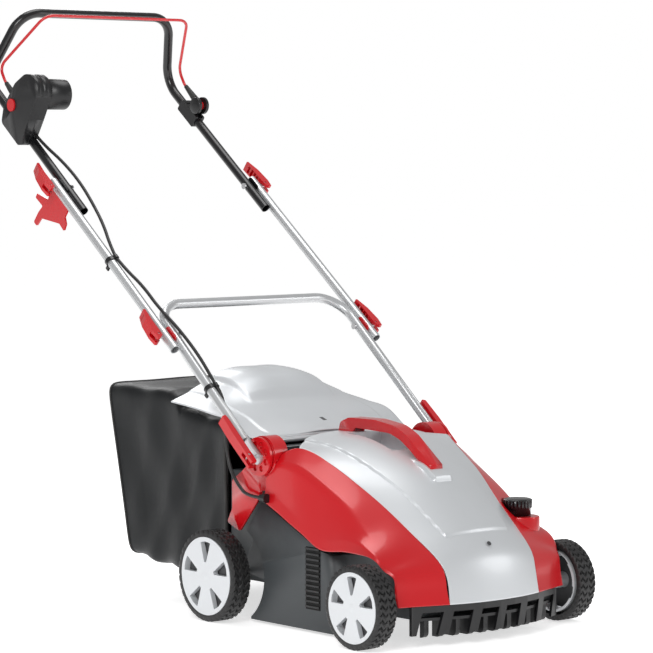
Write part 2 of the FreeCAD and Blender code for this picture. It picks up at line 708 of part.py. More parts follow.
def make_drive():
    """Motor, belt drive and tine roller inside the covers."""
    my, mz, mr = size("motor_y"), size("motor_z"), size("motor_radius")
    ry, rz = size("roller_y"), size("roller_z")
    can = rod((-85, my, mz), (100, my, mz), mr).fuse(rod((100, my, mz), (112, my, mz), 18))
    (y0, z0), (y1, z1) = DECK_TOP[2], DECK_TOP[1]
    slope = (z1 - z0) / (y1 - y0)
    foot = [(262, z0 + (262 - y0) * slope), (338, z0 + (338 - y0) * slope), (338, 268), (262, 268)]
    can = can.fuse(slab(foot, -70, 80, plane="YZ"))
    can = can.cut(rod((40, my, mz), (120, my, mz), 5 + GAP))
    solid("motor", can.removeSplitter(), CHASSIS)
    half_belt = size("belt_width") / 2 + 1.5
    bx = size("belt_x")
    small = size("motor_pulley")
    large = size("roller_pulley")
    rotor = rod((40, my, mz), (bx + half_belt, my, mz), 5)
    rotor = rotor.fuse(rod((bx - half_belt, my, mz), (bx + half_belt, my, mz), small))
    solid("motor_rotor", rotor, CHASSIS)
    shaft = rod((-209, ry, rz), (bx + half_belt, ry, rz), 10)
    drum = rod((-180, ry, rz), (180, ry, rz), 20)
    pulley = rod((bx - half_belt, ry, rz), (bx + half_belt, ry, rz), large)
    solid("tine_roller", shaft.fuse(drum).fuse(pulley).removeSplitter(), CHASSIS)
    bearings = []
    for side in (-1, 1):
        ring = rod((side * 201.5, ry, rz), (side * 205, ry, rz), 18)
        bearings.append(ring.cut(rod((side * 190, ry, rz), (side * 210, ry, rz), 10 + GAP)))
    solid("roller_bearings", Part.makeCompound(bearings), CHASSIS)
    make_tines(ry, rz)
    make_belt(Vector(bx, my, mz), small, Vector(bx, ry, rz), large)


def make_tines(y, z):
    """Row of two-armed tine plates along the roller, each turned past the last."""
    reach = size("tine_radius")
    arm = [
        (18, -12), (reach - 14, -11), (reach, -4), (reach - 4, 3), (reach - 22, 9), (18, 12),
    ]
    blank = slab(arm, -1.5, 1.5, plane="XY")
    blank = blank.fuse(blank.rotated(Vector(), Vector(0, 0, 1), 180))
    blank = blank.fuse(Part.makeCylinder(28, 3, Vector(0, 0, -1.5)))
    blank = blank.cut(Part.makeCylinder(20.02, 10, Vector(0, 0, -5))).removeSplitter()
    tines = []
    count = 15
    for k in range(count):
        plate = blank.rotated(Vector(), Vector(0, 0, 1), 37.0 * k)
        plate = plate.rotated(Vector(), Vector(0, 1, 0), 90)
        plate.translate(Vector((k - (count - 1) / 2) * 24.0, y, z))
        tines.append(plate)
    solid("tines", Part.makeCompound(tines), CHASSIS)


def make_belt(top, small, low, large):
    """Belt around two pulleys: two tangent runs and two arcs."""
    span = low - top
    length = span.Length
    along = span / length
    square = Vector(0, -along.z, along.y)
    lean = math.asin((large - small) / length)

    def wire(extra):
        points = []
        for sign in (1, -1):
            normal = square * (sign * math.cos(lean)) - along * math.sin(lean)
            points.append((top + normal * (small + extra), low + normal * (large + extra)))
        cap_top = top - along * (small + extra)
        cap_low = low + along * (large + extra)
        (a, b), (c, d) = points
        edges = [Part.LineSegment(a, b), Part.Arc(b, cap_low, d),
                 Part.LineSegment(d, c), Part.Arc(c, cap_top, a)]
        return Part.Face(Part.Wire([edge.toShape() for edge in edges]))

    band = wire(2.6).cut(wire(0.1))
    width = size("belt_width")
    band.translate(Vector(-width / 2, 0, 0))
    solid("drive_belt", band.extrude(Vector(width, 0, 0)), CHASSIS)


# ---------------------------------------------------------------- bag

BAG_OUTLINE = [
    (545, 80), (729, 70), (898, 92), (915, 110), (996, 478), (985, 494), (742, 492), (722, 452),
    (640, 446), (545, 428),
]


def make_bag():
    """Open-mouthed collection bag and the wire frame that holds its mouth."""
    body = doc.addObject("PartDesign::Body", "collection_bag")
    radii = [0, 60, 12, 20, 10, 14, 14, 14, 40, 0]
    pad(body, "YZ_Plane", BAG_OUTLINE, "Sizes.bag_half * 2", radii, name="outside")
    inside = [
        (540, 82.5), (729, 72.5), (896, 94.5), (912.5, 111), (993.5, 478), (984, 491.5),
        (743.5, 489.5), (723.5, 449.5), (640, 443.5), (540, 424.5),
    ]
    pocket(body, "YZ_Plane", inside, "(Sizes.bag_half - Sizes.bag_wall) * 2", radii, name="inside")
    keep(body, "collection_bag", CHASSIS)
    corners = [(-198, 92), (198, 92), (198, 412), (-198, 412)]
    points = [Vector(x, 552, z) for x, z in corners]
    start = Vector(0, 552, 92)
    path = corner_path([start] + points[1:] + points[:1] + [start], [0, 30, 30, 30, 30, 0])
    solid("bag_frame", swept(path, 4.0), CHASSIS)


# ---------------------------------------------------------------- knuckles and handle

def make_knuckles():
    """Red drum and bracket of each handle pivot, bolted to the deck."""
    ky, kz = size("knuckle_y"), size("knuckle_z")
    radius = size("drum_radius")
    drum = rod((214, ky, kz), (250, ky, kz), radius)
    drum = drum.cut(rod((218, ky, kz), (246, ky, kz), radius - 4))
    drum = drum.fuse(rod((214, ky, kz), (250, ky, kz), 12))
    bracket = slab(ARM_OUTLINE, 240, 247, radii=[4, 8, 6, 6, 6, 6, 8, 8, 8, 4], plane="YZ")
    bracket = bracket.cut(rod((238, ky, kz), (248, ky, kz), radius - 2))
    knuckle = drum.fuse(bracket)
    knuckle = knuckle.cut(rod((200, ky, kz), (260, ky, kz), BOLT + GAP)).removeSplitter()
    solid("knuckle_brackets", both_sides(knuckle), CHASSIS)
    disc = rod((250.4, ky, kz), (262, ky, kz), radius - 2)
    groove = rod((253, ky, kz), (256, ky, kz), radius).cut(rod((253, ky, kz), (256, ky, kz), radius - 6))
    disc = disc.cut(groove)
    for k in range(8):
        angle = math.radians(22.5 + 45 * k)
        spot = (ky + 27 * math.cos(angle), kz + 27 * math.sin(angle))
        disc = disc.cut(rod((258, *spot), (270, *spot), 7))
    disc = disc.cut(rod((240, ky, kz), (270, ky, kz), BOLT))
    solid("knuckle_discs", both_sides(disc), CHASSIS)


def side_rod(frame, s, p, x0, x1, radius):
    """Bar along the machine's cross axis, at s and p of a handle frame."""
    spot = frame.multVec(Vector(s, p, 0))
    return rod((x0, spot.y, spot.z), (x1, spot.y, spot.z), radius)


def make_lower_handle():
    """U-shaped lower handle with its crossbar and flattened ends."""
    top = 477.0
    points = [(48, LEG_X), (top, LEG_X), (top, -LEG_X), (48, -LEG_X)]
    path = corner_path([LOWER.multVec(Vector(s, 0, x)) for s, x in points], [0, 70, 70, 0])
    handle = swept(path, TUBE, TUBE - size("tube_wall"))
    for side in (-1, 1):
        x0, x1 = sorted((side * 262.6, side * 268.6))
        tongue = slab([(-16, -13), (56, -10.5), (56, 10.5), (-16, 13)], x0, x1, radii=[8, 0, 0, 8])
        handle = handle.fuse(moved(tongue, LOWER))
    handle = handle.cut(side_rod(LOWER, 0, 0, -300, 300, BOLT))
    handle = handle.cut(side_rod(LOWER, size("lower_length"), 0, -300, 300, BOLT + GAP))
    solid("lower_handle", handle.removeSplitter())


def make_middle_tubes():
    """Straight middle tubes outside the lower and upper handle's legs."""
    low, high = -45.0, 547.0
    tubes = []
    for side in (-1, 1):
        start = UPPER.multVec(Vector(low, 0, side * MID_X))
        end = UPPER.multVec(Vector(high, 0, side * MID_X))
        tube = rod(start, end, TUBE).cut(rod(start, end, TUBE - size("tube_wall")))
        for s in (0.0, size("middle_length")):
            tube = tube.cut(side_rod(UPPER, s, 0, side * 270, side * 320, BOLT))
        tubes.append(tube)
    solid("middle_tubes", Part.makeCompound(tubes))


UPPER_START = 436.0
UPPER_KNEE = UPPER.multVec(Vector(940, 0, LEG_X))
UPPER_CORNER = Vector(220, FRONT_Y + 1308, 1355)


def mirrored(point):
    """The point on the machine's other side."""
    return Vector(-point.x, point.y, point.z)


def make_upper_loop():
    """Black upper handle: two legs, knees, slanting sides and the grip bar."""
    leg = UPPER.multVec(Vector(UPPER_START, 0, LEG_X))
    half = [leg, UPPER_KNEE, UPPER_CORNER]
    points = half + [mirrored(p) for p in reversed(half)]
    loop = swept(corner_path(points, [0, 60, 66, 66, 60, 0]), TUBE, TUBE - size("tube_wall"))
    for side in (-1, 1):
        loop = loop.cut(side_rod(UPPER, size("middle_length"), 0, side * 250, side * 300, BOLT + GAP))
    solid("upper_loop", loop)


def make_bolts_and_saddles():
    """Clamp bolts with cross pins for the levers, and spacers between the tubes."""
    lever_x = size("lever_x")
    stations = {
        "lower_bolts": [(LOWER, 0.0, 213.6, 292.0)],
        "middle_bolts": [(UPPER, s, 257.8, lever_x) for s in (0.0, size("middle_length"))],
    }
    for node, places in stations.items():
        bolts = []
        for frame, s, start, pin_x in places:
            shank = side_rod(frame, s, 0, start, pin_x, BOLT)
            head = side_rod(frame, s, 0, start - 4, start, 7.5)
            middle = Vector(s, 0, pin_x)
            pin = rod(frame.multVec(middle - Vector(0, 10.5, 0)),
                      frame.multVec(middle + Vector(0, 10.5, 0)), 3.0)
            bolts.append(shank.fuse(head).fuse(pin).removeSplitter())
        both = [s for b in bolts for s in both_sides(b).Solids]
        solid(node, Part.makeCompound(both))
    gap = MID_X - LEG_X - 2 * TUBE
    outline = [(-20, -14), (20, -14), (20, 14), (-20, 14)]
    inner = LEG_X + TUBE + 0.1
    for node, frame, s in (("middle_saddles", UPPER, 0.0),
                           ("upper_saddles", UPPER, size("middle_length"))):
        plate = slab(outline, inner, inner + gap - 0.2, radii=6)
        plate = plate.cut(Part.makeCylinder(BOLT + 0.1, 400))
        plate = moved(plate, frame.multiply(Placement(Vector(s, 0, 0), Rotation())))
        solid(node, both_sides(plate))


# Cam lever outline in the plane of its swing: along the tube, and outwards from the pin.
CAM_LEVER = [
    (-14, 3), (-14, 10), (8, 13), (48, 8), (80, -3), (80, -9), (46, -6), (10, -7), (-8, -5),
]
KNUCKLE_LEVER = [(-22, -8), (-22, 6), (60, 7), (116, 4), (119, -6), (112, -8)]


def make_lever(node, frame, s, side, outline, pin_x, half_width):
    """Over-centre lever on the cross pin of a clamp bolt."""
    blank = slab(outline, -half_width, half_width, radii=1.5, plane="XY")
    slot = block(-40, 13, -30, 30, -BOLT - 0.4, BOLT + 0.4)
    blank = blank.cut(slot)
    blank = blank.cut(Part.makeCylinder(3.0 + GAP, 80, Vector(0, 0, -40)))
    if half_width > 11:
        for k in range(4):
            blank = blank.cut(block(22 + 12 * k, 30 + 12 * k, -20, 2.5, -half_width + 3, half_width - 3))
    along = frame.Rotation.multVec(Vector(1, 0, 0))
    outward = Vector(side, 0, 0)
    turn = Rotation(along, outward, along.cross(outward), "XYZ")
    spot = frame.multVec(Vector(s, 0, side * pin_x))
    solid(node, blank.removeSplitter(), Placement(spot, turn))


def make_levers():
    """The six clamp levers: knuckle, middle and upper, on both sides."""
    for name, side in SIDES.items():
        make_lever(f"knuckle_lever_{name}", LOWER, 0.0, side, KNUCKLE_LEVER, 292.0, 11.0)
        make_lever(f"middle_lever_{name}", UPPER, 0.0, side, CAM_LEVER, size("lever_x"), 12.0)
        make_lever(f"upper_lever_{name}", UPPER, size("middle_length"), side, CAM_LEVER,
                   size("lever_x"), 12.0)


# ---------------------------------------------------------------- switch, bail, cable

SWITCH_OUTLINE = [
    (697, -15), (790, -15), (806, 22), (801, 92), (778, 141), (738, 150), (711, 128), (703, 60),
]
SWITCH_RADII = [8, 14, 24, 40, 34, 34, 40, 60]
SWITCH_SEAM = -281.0
BAIL_PLANE = 269.0


def in_upper(shape):
    """Shape drawn in the upper handle's frame, moved to the machine's."""
    return moved(shape, UPPER)


def make_switch():
    """Switch box in two halves, start button, plug shroud and its pins."""
    tube = in_upper(rod((600, 0, -LEG_X), (900, 0, -LEG_X), TUBE + 0.05))
    cable = in_upper(rod((640, 14, -262), (704, 14, -262), size("cable_radius") + 0.5))
    swing = in_upper(slab([(774, 14), (830, 14), (830, 75), (774, 75)], -277, -260.9, radii=0))
    outer = in_upper(slab(SWITCH_OUTLINE, -302, SWITCH_SEAM, SWITCH_RADII))
    inner = in_upper(slab(SWITCH_OUTLINE, SWITCH_SEAM, -259, SWITCH_RADII))
    inside = [(716, 30), (790, 30), (790, 95), (770, 130), (735, 132), (720, 110)]
    cavity = in_upper(slab(inside, -298, -282, radii=6))
    button_s, button_p = 780.0, 44.0
    well = side_rod(UPPER, button_s, button_p, -310, -290, size("button_radius") + 0.3)
    outer = outer.cut(tube).cut(cavity).cut(well).cut(swing)
    inner = inner.cut(tube).cut(cable).cut(swing)
    solid("switch_box_outer", outer.removeSplitter())
    solid("switch_box_inner", inner.removeSplitter())
    button = doc.addObject("Part::Cylinder", "start_button")
    button.setExpression("Radius", "Sizes.button_radius")
    button.setExpression("Height", "11")
    spot = UPPER.multVec(Vector(button_s, button_p, -305.5))
    keep(button, "start_button", Placement(spot, Rotation(Vector(0, 0, 1), Vector(1, 0, 0))))
    shroud_s, shroud_p = 744.0, 104.0
    shroud = side_rod(UPPER, shroud_s, shroud_p, -259, -200, 36)
    shroud = shroud.cut(side_rod(UPPER, shroud_s, shroud_p, -252, -195, 31))
    solid("plug_shroud", shroud)
    pins = [side_rod(UPPER, shroud_s + 9.5 * k, shroud_p, -252, -222, 2.4) for k in (-1, 1)]
    solid("plug_pins", Part.makeCompound(pins))


def make_bail():
    """Red safety bail, its rubber boots, and the bearing bracket of the right side."""
    s, p = size("bail_s"), size("bail_p")
    pivot = UPPER.multVec(Vector(s, p, BAIL_PLANE))
    half = [
        pivot + Vector(0, 16 * 0.69, 16 * 0.72),
        Vector(268, FRONT_Y + 1311, 1192), Vector(268, FRONT_Y + 1332, 1226),
        Vector(211, FRONT_Y + 1222, 1345),
    ]
    points = half + [mirrored(q) for q in reversed(half)]
    wire = swept(corner_path(points, [0, 40, 26, 34, 34, 26, 40, 0]), size("bail_radius"))
    for side in (-1, 1):
        eye = side_rod(UPPER, s, p, side * 262.6, side * 275.4, 10)
        arm = rod((side * 269, pivot.y, pivot.z), (side * 269, half[0].y + 3, half[0].z + 3.2), 5)
        wire = wire.fuse(eye.fuse(arm).cut(side_rod(UPPER, s, p, side * 255, side * 285, 3.0 + GAP)))
    solid("bail_bar", wire)
    direction = (half[1] - half[0]).normalize()
    boots = []
    for side in (-1, 1):
        start = half[0] + direction * 9
        tip = half[1] - direction * 9
        length = (tip - start).Length
        boot = Part.makeCone(8.5, 5.2, length, start, direction)
        boot = boot.cut(rod(half[0], half[1] + direction * 2, size("bail_radius")))
        if side < 0:
            boot = boot.mirror(Vector(), Vector(1, 0, 0))
        boots.append(boot)
    solid("bail_boots", Part.makeCompound(boots))
    bracket = slab([(775, -15), (850, -15), (850, 14), (775, 16)], 256, 282, radii=4)
    bracket = bracket.fuse(Part.makeCylinder(21, 26, Vector(s, p, 256)))
    bracket = bracket.cut(rod((700, 0, LEG_X), (900, 0, LEG_X), TUBE + 0.05))
    bracket = bracket.cut(block(s - 24, s + 40, 12.5, 80, 262, 276))
    bracket = in_upper(bracket)
    bracket = bracket.fuse(side_rod(UPPER, s, p, 257, 281, 3.0)).removeSplitter()
    solid("bail_bracket", bracket)
    pin = side_rod(UPPER, s, p, -277, -260.9, 3.0)
    solid("bail_pin", pin)


HOOK_OUTLINE = [
    (545, -8), (458, -8), (458, -34), (444, -44), (441, -62), (466, -60), (530, -96),
    (534, -122), (549, -122), (548, -92), (543, -70), (578, -72), (578, -60), (535, -44),
]


def make_cable_hook():
    """Flat strain-relief hook that hangs under the left middle tube."""
    hook = slab(HOOK_OUTLINE, -296, -292, radii=[2, 3, 2, 3, 3, 4, 4, 4, 4, 3, 3, 3, 3, 4])
    hook = in_upper(hook)
    spot = in_upper(rod((400, 0, -MID_X), (600, 0, -MID_X), TUBE + 0.05))
    solid("cable_hook", hook.cut(spot))


def make_cable():
    """Power cable from the switch box down to the deck, in one length per handle section."""
    radius = size("cable_radius")

    def upper(s, p, x):
        return UPPER.multVec(Vector(s, p, x))

    def lower(s, p, x):
        return LOWER.multVec(Vector(s, p, x))

    def body(x, y, z):
        return Vector(x, FRONT_Y + y, z)

    runs = {
        "cable_upper": [
            upper(703, 14, -262), upper(668, 14, -260), upper(600, 18, -246), upper(520, 22, -244),
            upper(440, 20, -250), upper(360, 22, -266), upper(300, 15, -280), upper(259, 12.6, -286.2),
        ],
        "cable_middle": [
            upper(257, 12.6, -286.2), upper(216, 13, -284), upper(150, 18, -276),
            upper(80, 16, -274), upper(10, 19, -266), lower(320, 17, -258),
            lower(262, 15, -257), lower(209, 10.5, -258.4),
        ],
        "cable_tail": [
            lower(207, 10.5, -258.4), lower(179, 8.6, -254.4), body(-249, 494, 424),
            body(-251, 487, 374), body(-254, 470, 328), body(-258, 436, 297),
            body(-261, 404, 279), body(-261, 357, 279),
        ],
    }
    for node, points in runs.items():
        radii = [0]
        for k in range(1, len(points) - 1):
            here = points[k]
            back, ahead = points[k - 1] - here, points[k + 1] - here
            turn = math.pi - back.getAngle(ahead)
            shorter = min(back.Length, ahead.Length)
            radii.append(0.45 * shorter / math.tan(turn / 2))
        radii.append(0)
        path = corner_path(points, radii)
        tube = swept(path, radius)
        length = sum(edge.toShape().Length for edge in path)
        share = tube.Volume / (math.pi * radius ** 2 * length)
        print(node, "length", round(length, 1), "volume over section x length", round(share, 4),
              "radii", [round(r) for r in radii[1:-1]])
        solid(node, tube)
    clip_specs = (("cable_clip_middle", UPPER, 258.0, MID_X, -286.2, 12.6),
                  ("cable_clip_lower", LOWER, 208.0, LEG_X, -258.4, 10.5))
    for node, frame, s, tube_x, cable_x, cable_p in clip_specs:
        def bar(p, x, r, reach):
            return rod((s - reach, p, x), (s + reach, p, x), r)
        clip = bar(0, -tube_x, TUBE + 2.6, 5).fuse(bar(cable_p, cable_x, radius + 2.4, 5))
        clip = clip.fuse(slab([(s - 5, -16), (s + 5, -16), (s + 5, -24), (s - 5, -24)],
                              -tube_x - 2, -tube_x + 2))
        clip = clip.fuse(slab([(s - 5, -10), (s + 5, -10), (s + 5, -18), (s - 5, -18)],
                              -tube_x - 2, -tube_x + 2))
        clip = clip.cut(bar(0, -tube_x, TUBE + 0.05, 20)).cut(bar(cable_p, cable_x, radius + 0.9, 20))
        solid(node, moved(clip.removeSplitter(), frame))
    gland = rod((-261, 336, 279), (-261, 356.9, 279), 8).fuse(rod((-261, 336, 279), (-261, 346, 279), 10))
    solid("cable_gland", gland, CHASSIS)


def write_parts():
    """Check every object and sub-part, then write one STEP file for each."""
    doc.recompute()
    for obj in doc.Objects:
        if "Invalid" in obj.State or "Error" in obj.State:
            raise RuntimeError(f"{obj.Label} failed: {obj.State}")
    os.makedirs("parts", exist_ok=True)
    bad = [obj.Label for obj in parts
           if obj.Shape.isNull() or not obj.Shape.isValid() or not obj.Shape.Solids]
    if bad:
        raise RuntimeError(f"no valid solid in {bad}")
    for obj in parts:
        obj.Shape.exportStep(f"parts/{obj.Label}.step")
    box = FreeCAD.BoundBox()
    for obj in parts:
        box.add(obj.Shape.BoundBox)
    print(len(parts), "sub-parts in", box)


make_deck()
make_front_comb()
make_louvres()
make_hood()
make_side_shell(-1)
make_side_shell(1)
make_knob()
make_carry_handle()
make_rear_flap()
for wheel_end in ("front", "rear"):
    for wheel_side in SIDES:
        make_wheel(wheel_end, wheel_side)
make_axles()
make_drive()
make_bag()
make_knuckles()
make_lower_handle()
make_middle_tubes()
make_upper_loop()
make_bolts_and_saddles()
make_levers()
make_switch()
make_bail()
make_cable_hook()
make_cable()
write_parts()
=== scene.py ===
"""Looks of a walk-behind electric lawn dethatcher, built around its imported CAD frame.

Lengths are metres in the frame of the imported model: +Z up, the front of the machine
towards -Y, the handle and the bag towards +Y.
"""

import json
import logging
import math
from dataclasses import dataclass, field
from enum import Enum

import bmesh
import bpy
import numpy as np
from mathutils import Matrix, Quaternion, Vector

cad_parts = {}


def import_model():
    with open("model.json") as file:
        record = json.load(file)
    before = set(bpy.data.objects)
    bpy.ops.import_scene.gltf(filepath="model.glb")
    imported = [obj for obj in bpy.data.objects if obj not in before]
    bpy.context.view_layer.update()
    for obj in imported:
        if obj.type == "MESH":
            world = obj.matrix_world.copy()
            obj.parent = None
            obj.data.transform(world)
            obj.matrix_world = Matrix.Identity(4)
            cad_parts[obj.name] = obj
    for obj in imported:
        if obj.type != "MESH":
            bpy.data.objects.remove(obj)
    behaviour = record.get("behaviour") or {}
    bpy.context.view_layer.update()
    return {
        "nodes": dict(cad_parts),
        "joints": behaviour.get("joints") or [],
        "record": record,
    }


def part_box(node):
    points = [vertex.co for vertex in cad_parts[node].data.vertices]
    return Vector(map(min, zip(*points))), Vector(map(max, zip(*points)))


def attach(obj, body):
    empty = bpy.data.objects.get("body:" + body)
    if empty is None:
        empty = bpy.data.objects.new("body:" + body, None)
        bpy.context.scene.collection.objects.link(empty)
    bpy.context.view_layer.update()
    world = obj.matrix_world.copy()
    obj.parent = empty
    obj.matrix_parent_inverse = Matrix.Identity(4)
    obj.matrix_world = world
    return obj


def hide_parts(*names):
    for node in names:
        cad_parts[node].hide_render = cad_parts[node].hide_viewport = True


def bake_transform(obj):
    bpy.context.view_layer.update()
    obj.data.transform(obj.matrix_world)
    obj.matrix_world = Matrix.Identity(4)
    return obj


logging.basicConfig(level=logging.INFO, format="%(message)s")
LOG = logging.getLogger("lawn_dethatcher")

Colour = tuple[float, float, float]


class Side(Enum):
    """The two sides of the machine; the value is the sign of X."""

    LEFT = -1
    RIGHT = 1


class WheelEnd(Enum):
    """The two axles of the machine; the value starts the names of their nodes."""

    FRONT = "front"
    REAR = "rear"


# ---------------------------------------------------------------- finishes


class ShaderGraph:
    """A material's node tree with a Principled surface, and short calls to fill it."""

    def __init__(self, name: str) -> None:
        """Makes an empty material of that name."""
        self.material = bpy.data.materials.new(name)
        self.material.use_nodes = True
        self.tree = self.material.node_tree
        self.surface = self.tree.nodes["Principled BSDF"]
        self.coordinates = self.add("ShaderNodeTexCoord").outputs["Object"]

    def add(self, kind: str, inputs: dict[str | int, object] | None = None,
            **settings: object) -> bpy.types.Node:
        """Adds a node.

        Args:
            kind: Blender's name of the node type.
            inputs: values of its inputs, or the outputs linked to them.
            settings: attributes of the node, such as operation.

        Returns:
            The new node.
        """
        node = self.tree.nodes.new(kind)
        for key, value in settings.items():
            setattr(node, key, value)
        self.fill(node, inputs or {})
        return node

    def fill(self, node: bpy.types.Node, inputs: dict[str | int, object]) -> None:
        """Sets the inputs of a node; an output among the values is linked."""
        for key, value in inputs.items():
            if isinstance(value, bpy.types.NodeSocket):
                self.tree.links.new(value, node.inputs[key])
            else:
                node.inputs[key].default_value = value

    def noise(self, scale: float, detail: float = 3.0,
              stretch: tuple[float, float, float] = (1.0, 1.0, 1.0)) -> bpy.types.NodeSocket:
        """Noise on object coordinates.

        Args:
            scale: features per metre.
            detail: octaves of the noise.
            stretch: scale of each axis before the noise is read.

        Returns:
            The noise's value output.
        """
        spots = self.add("ShaderNodeMapping", {"Scale": stretch, "Vector": self.coordinates})
        return self.add("ShaderNodeTexNoise", {
            "Scale": scale, "Detail": detail, "Vector": spots.outputs["Vector"]}).outputs["Fac"]

    def spread(self, value: bpy.types.NodeSocket, low: float, high: float) -> bpy.types.NodeSocket:
        """Maps the middle of a 0 to 1 signal onto a range.

        Args:
            value: the signal.
            low: result at 0.3 of the signal.
            high: result at 0.7 of the signal.

        Returns:
            The mapped output.
        """
        return self.add("ShaderNodeMapRange", {
            "From Min": 0.3, "From Max": 0.7, "To Min": low, "To Max": high,
            "Value": value}).outputs["Result"]

    def tint(self, factor: bpy.types.NodeSocket, first: Colour, second: Colour) -> None:
        """Paints the surface between two colours by a factor."""
        mix = self.add("ShaderNodeMix", {"Factor": factor, "A": (*first, 1.0), "B": (*second, 1.0)},
                       data_type="RGBA")
        self.fill(self.surface, {"Base Color": mix.outputs["Result"]})

    def bump(self, height: bpy.types.NodeSocket, depth: float,
             under: bpy.types.NodeSocket | None = None) -> bpy.types.NodeSocket:
        """Adds a bump.

        Args:
            height: the height signal.
            depth: metres between the signal's 0 and 1.
            under: normal of a bump below this one.

        Returns:
            The new normal, which is also linked to the surface.
        """
        node = self.add("ShaderNodeBump", {"Strength": 1.0, "Distance": depth, "Height": height})
        if under is not None:
            self.fill(node, {"Normal": under})
        self.fill(self.surface, {"Normal": node.outputs["Normal"]})
        return node.outputs["Normal"]


def shade(colour: Colour, factor: float) -> Colour:
    """The colour made lighter or darker by a factor."""
    return tuple(min(1.0, channel * factor) for channel in colour)


@dataclass(frozen=True)
class Finish:
    """A finish with mottled colour, uneven gloss and a fine grain.

    Attributes:
        name: material name.
        colour: linear base colour.
        roughness: middle of the gloss range.
        metallic: share of metal.
        coat: weight of a clear coat.
        grain: features of the grain per metre.
        depth: depth of the grain in metres.
        mottle: how far the colour and the gloss vary, as a share.
        clouds: features per metre of the change of colour.
        smears: features per metre of the change of gloss.
    """

    name: str
    colour: Colour
    roughness: float
    metallic: float = 0.0
    coat: float = 0.0
    grain: float = 1500.0
    depth: float = 0.00006
    mottle: float = 0.12
    clouds: float = 14.0
    smears: float = 38.0

    def build(self) -> bpy.types.Material:
        """Makes the material."""
        graph = ShaderGraph(self.name)
        less, more = 1 - self.mottle, 1 + self.mottle
        graph.tint(graph.noise(self.clouds, 5.0), shade(self.colour, less),
                   shade(self.colour, more))
        graph.fill(graph.surface, {
            "Metallic": self.metallic, "Coat Weight": self.coat, "Coat Roughness": 0.08,
            "Roughness": graph.spread(graph.noise(self.smears, 6.0), self.roughness * less,
                                      self.roughness * more)})
        self.dress(graph, graph.bump(graph.noise(self.grain, 2.0), self.depth))
        return graph.material

    def dress(self, graph: ShaderGraph, grain: bpy.types.NodeSocket) -> None:
        """Adds what this kind of finish has beyond the common part."""


@dataclass(frozen=True)
class MetallicPaint(Finish):
    """Paint with small flakes below a clear coat and a slight orange peel.

    Attributes:
        flake: how much more metal the flakes show.
        flakes: flakes per metre.
        peel: waves per metre of the orange peel.
        peel_depth: depth of the orange peel in metres.
    """

    flake: float = 0.25
    flakes: float = 2600.0
    peel: float = 240.0
    peel_depth: float = 0.000008

    def dress(self, graph: ShaderGraph, grain: bpy.types.NodeSocket) -> None:
        """Adds the flakes' glitter and the orange peel."""
        cells = graph.add("ShaderNodeTexVoronoi", {"Scale": self.flakes,
                                                   "Vector": graph.coordinates})
        glitter = graph.add("ShaderNodeMapRange", {
            "To Min": self.metallic, "To Max": min(1.0, self.metallic + self.flake),
            "Value": cells.outputs["Distance"]})
        graph.fill(graph.surface, {"Metallic": glitter.outputs["Result"]})
        graph.bump(graph.noise(self.peel, 2.0), self.peel_depth, grain)


@dataclass(frozen=True)
class BrushedMetal(Finish):
    """Turned or drawn metal with fine lines across the machine."""

    lines: float = 900.0
    line_depth: float = 0.00005
    line_stretch: tuple[float, float, float] = (0.04, 1.0, 1.0)

    def dress(self, graph: ShaderGraph, grain: bpy.types.NodeSocket) -> None:
        """Adds the drawn lines."""
        graph.bump(graph.noise(self.lines, 3.0, self.line_stretch), self.line_depth, grain)


@dataclass(frozen=True)
class Rubber(Finish):
    """Soft rubber with a little pale dust in its grain."""

    dust: float = 0.25
    dust_spots: float = 26.0
    dust_colour: Colour = (0.16, 0.15, 0.13)

    def dress(self, graph: ShaderGraph, grain: bpy.types.NodeSocket) -> None:
        """Adds the dust as a wide, weak change of colour."""
        graph.tint(graph.spread(graph.noise(self.dust_spots, 8.0), 0.0, self.dust), self.colour,
                   self.dust_colour)


@dataclass(frozen=True)
class WovenCloth(Finish):
    """Coated woven cloth; its weave follows the piece's own UV map, laid out in metres."""

    thread: float = 0.0011
    weave_depth: float = 0.00012

    def dress(self, graph: ShaderGraph, grain: bpy.types.NodeSocket) -> None:
        """Adds crossing threads and a soft sheen."""
        graph.fill(graph.surface, {"Sheen Weight": 0.06, "Specular IOR Level": 0.30,
                                   "Sheen Roughness": 0.4})
        uv = graph.add("ShaderNodeUVMap", uv_map="cloth")
        waves = [graph.add("ShaderNodeTexWave", {
            "Scale": math.tau / self.thread / 20.0, "Distortion": 0.4,
            "Vector": uv.outputs["UV"]}, wave_type="BANDS", bands_direction=direction)
            for direction in ("X", "Y")]
        both = graph.add("ShaderNodeMath", {0: waves[0].outputs["Fac"], 1: waves[1].outputs["Fac"]},
                         operation="MULTIPLY")
        graph.bump(both.outputs["Value"], self.weave_depth, grain)


BLACK: Colour = (0.006, 0.006, 0.007)
RED: Colour = (0.56, 0.003, 0.008)
SILVER: Colour = (0.64, 0.66, 0.68)

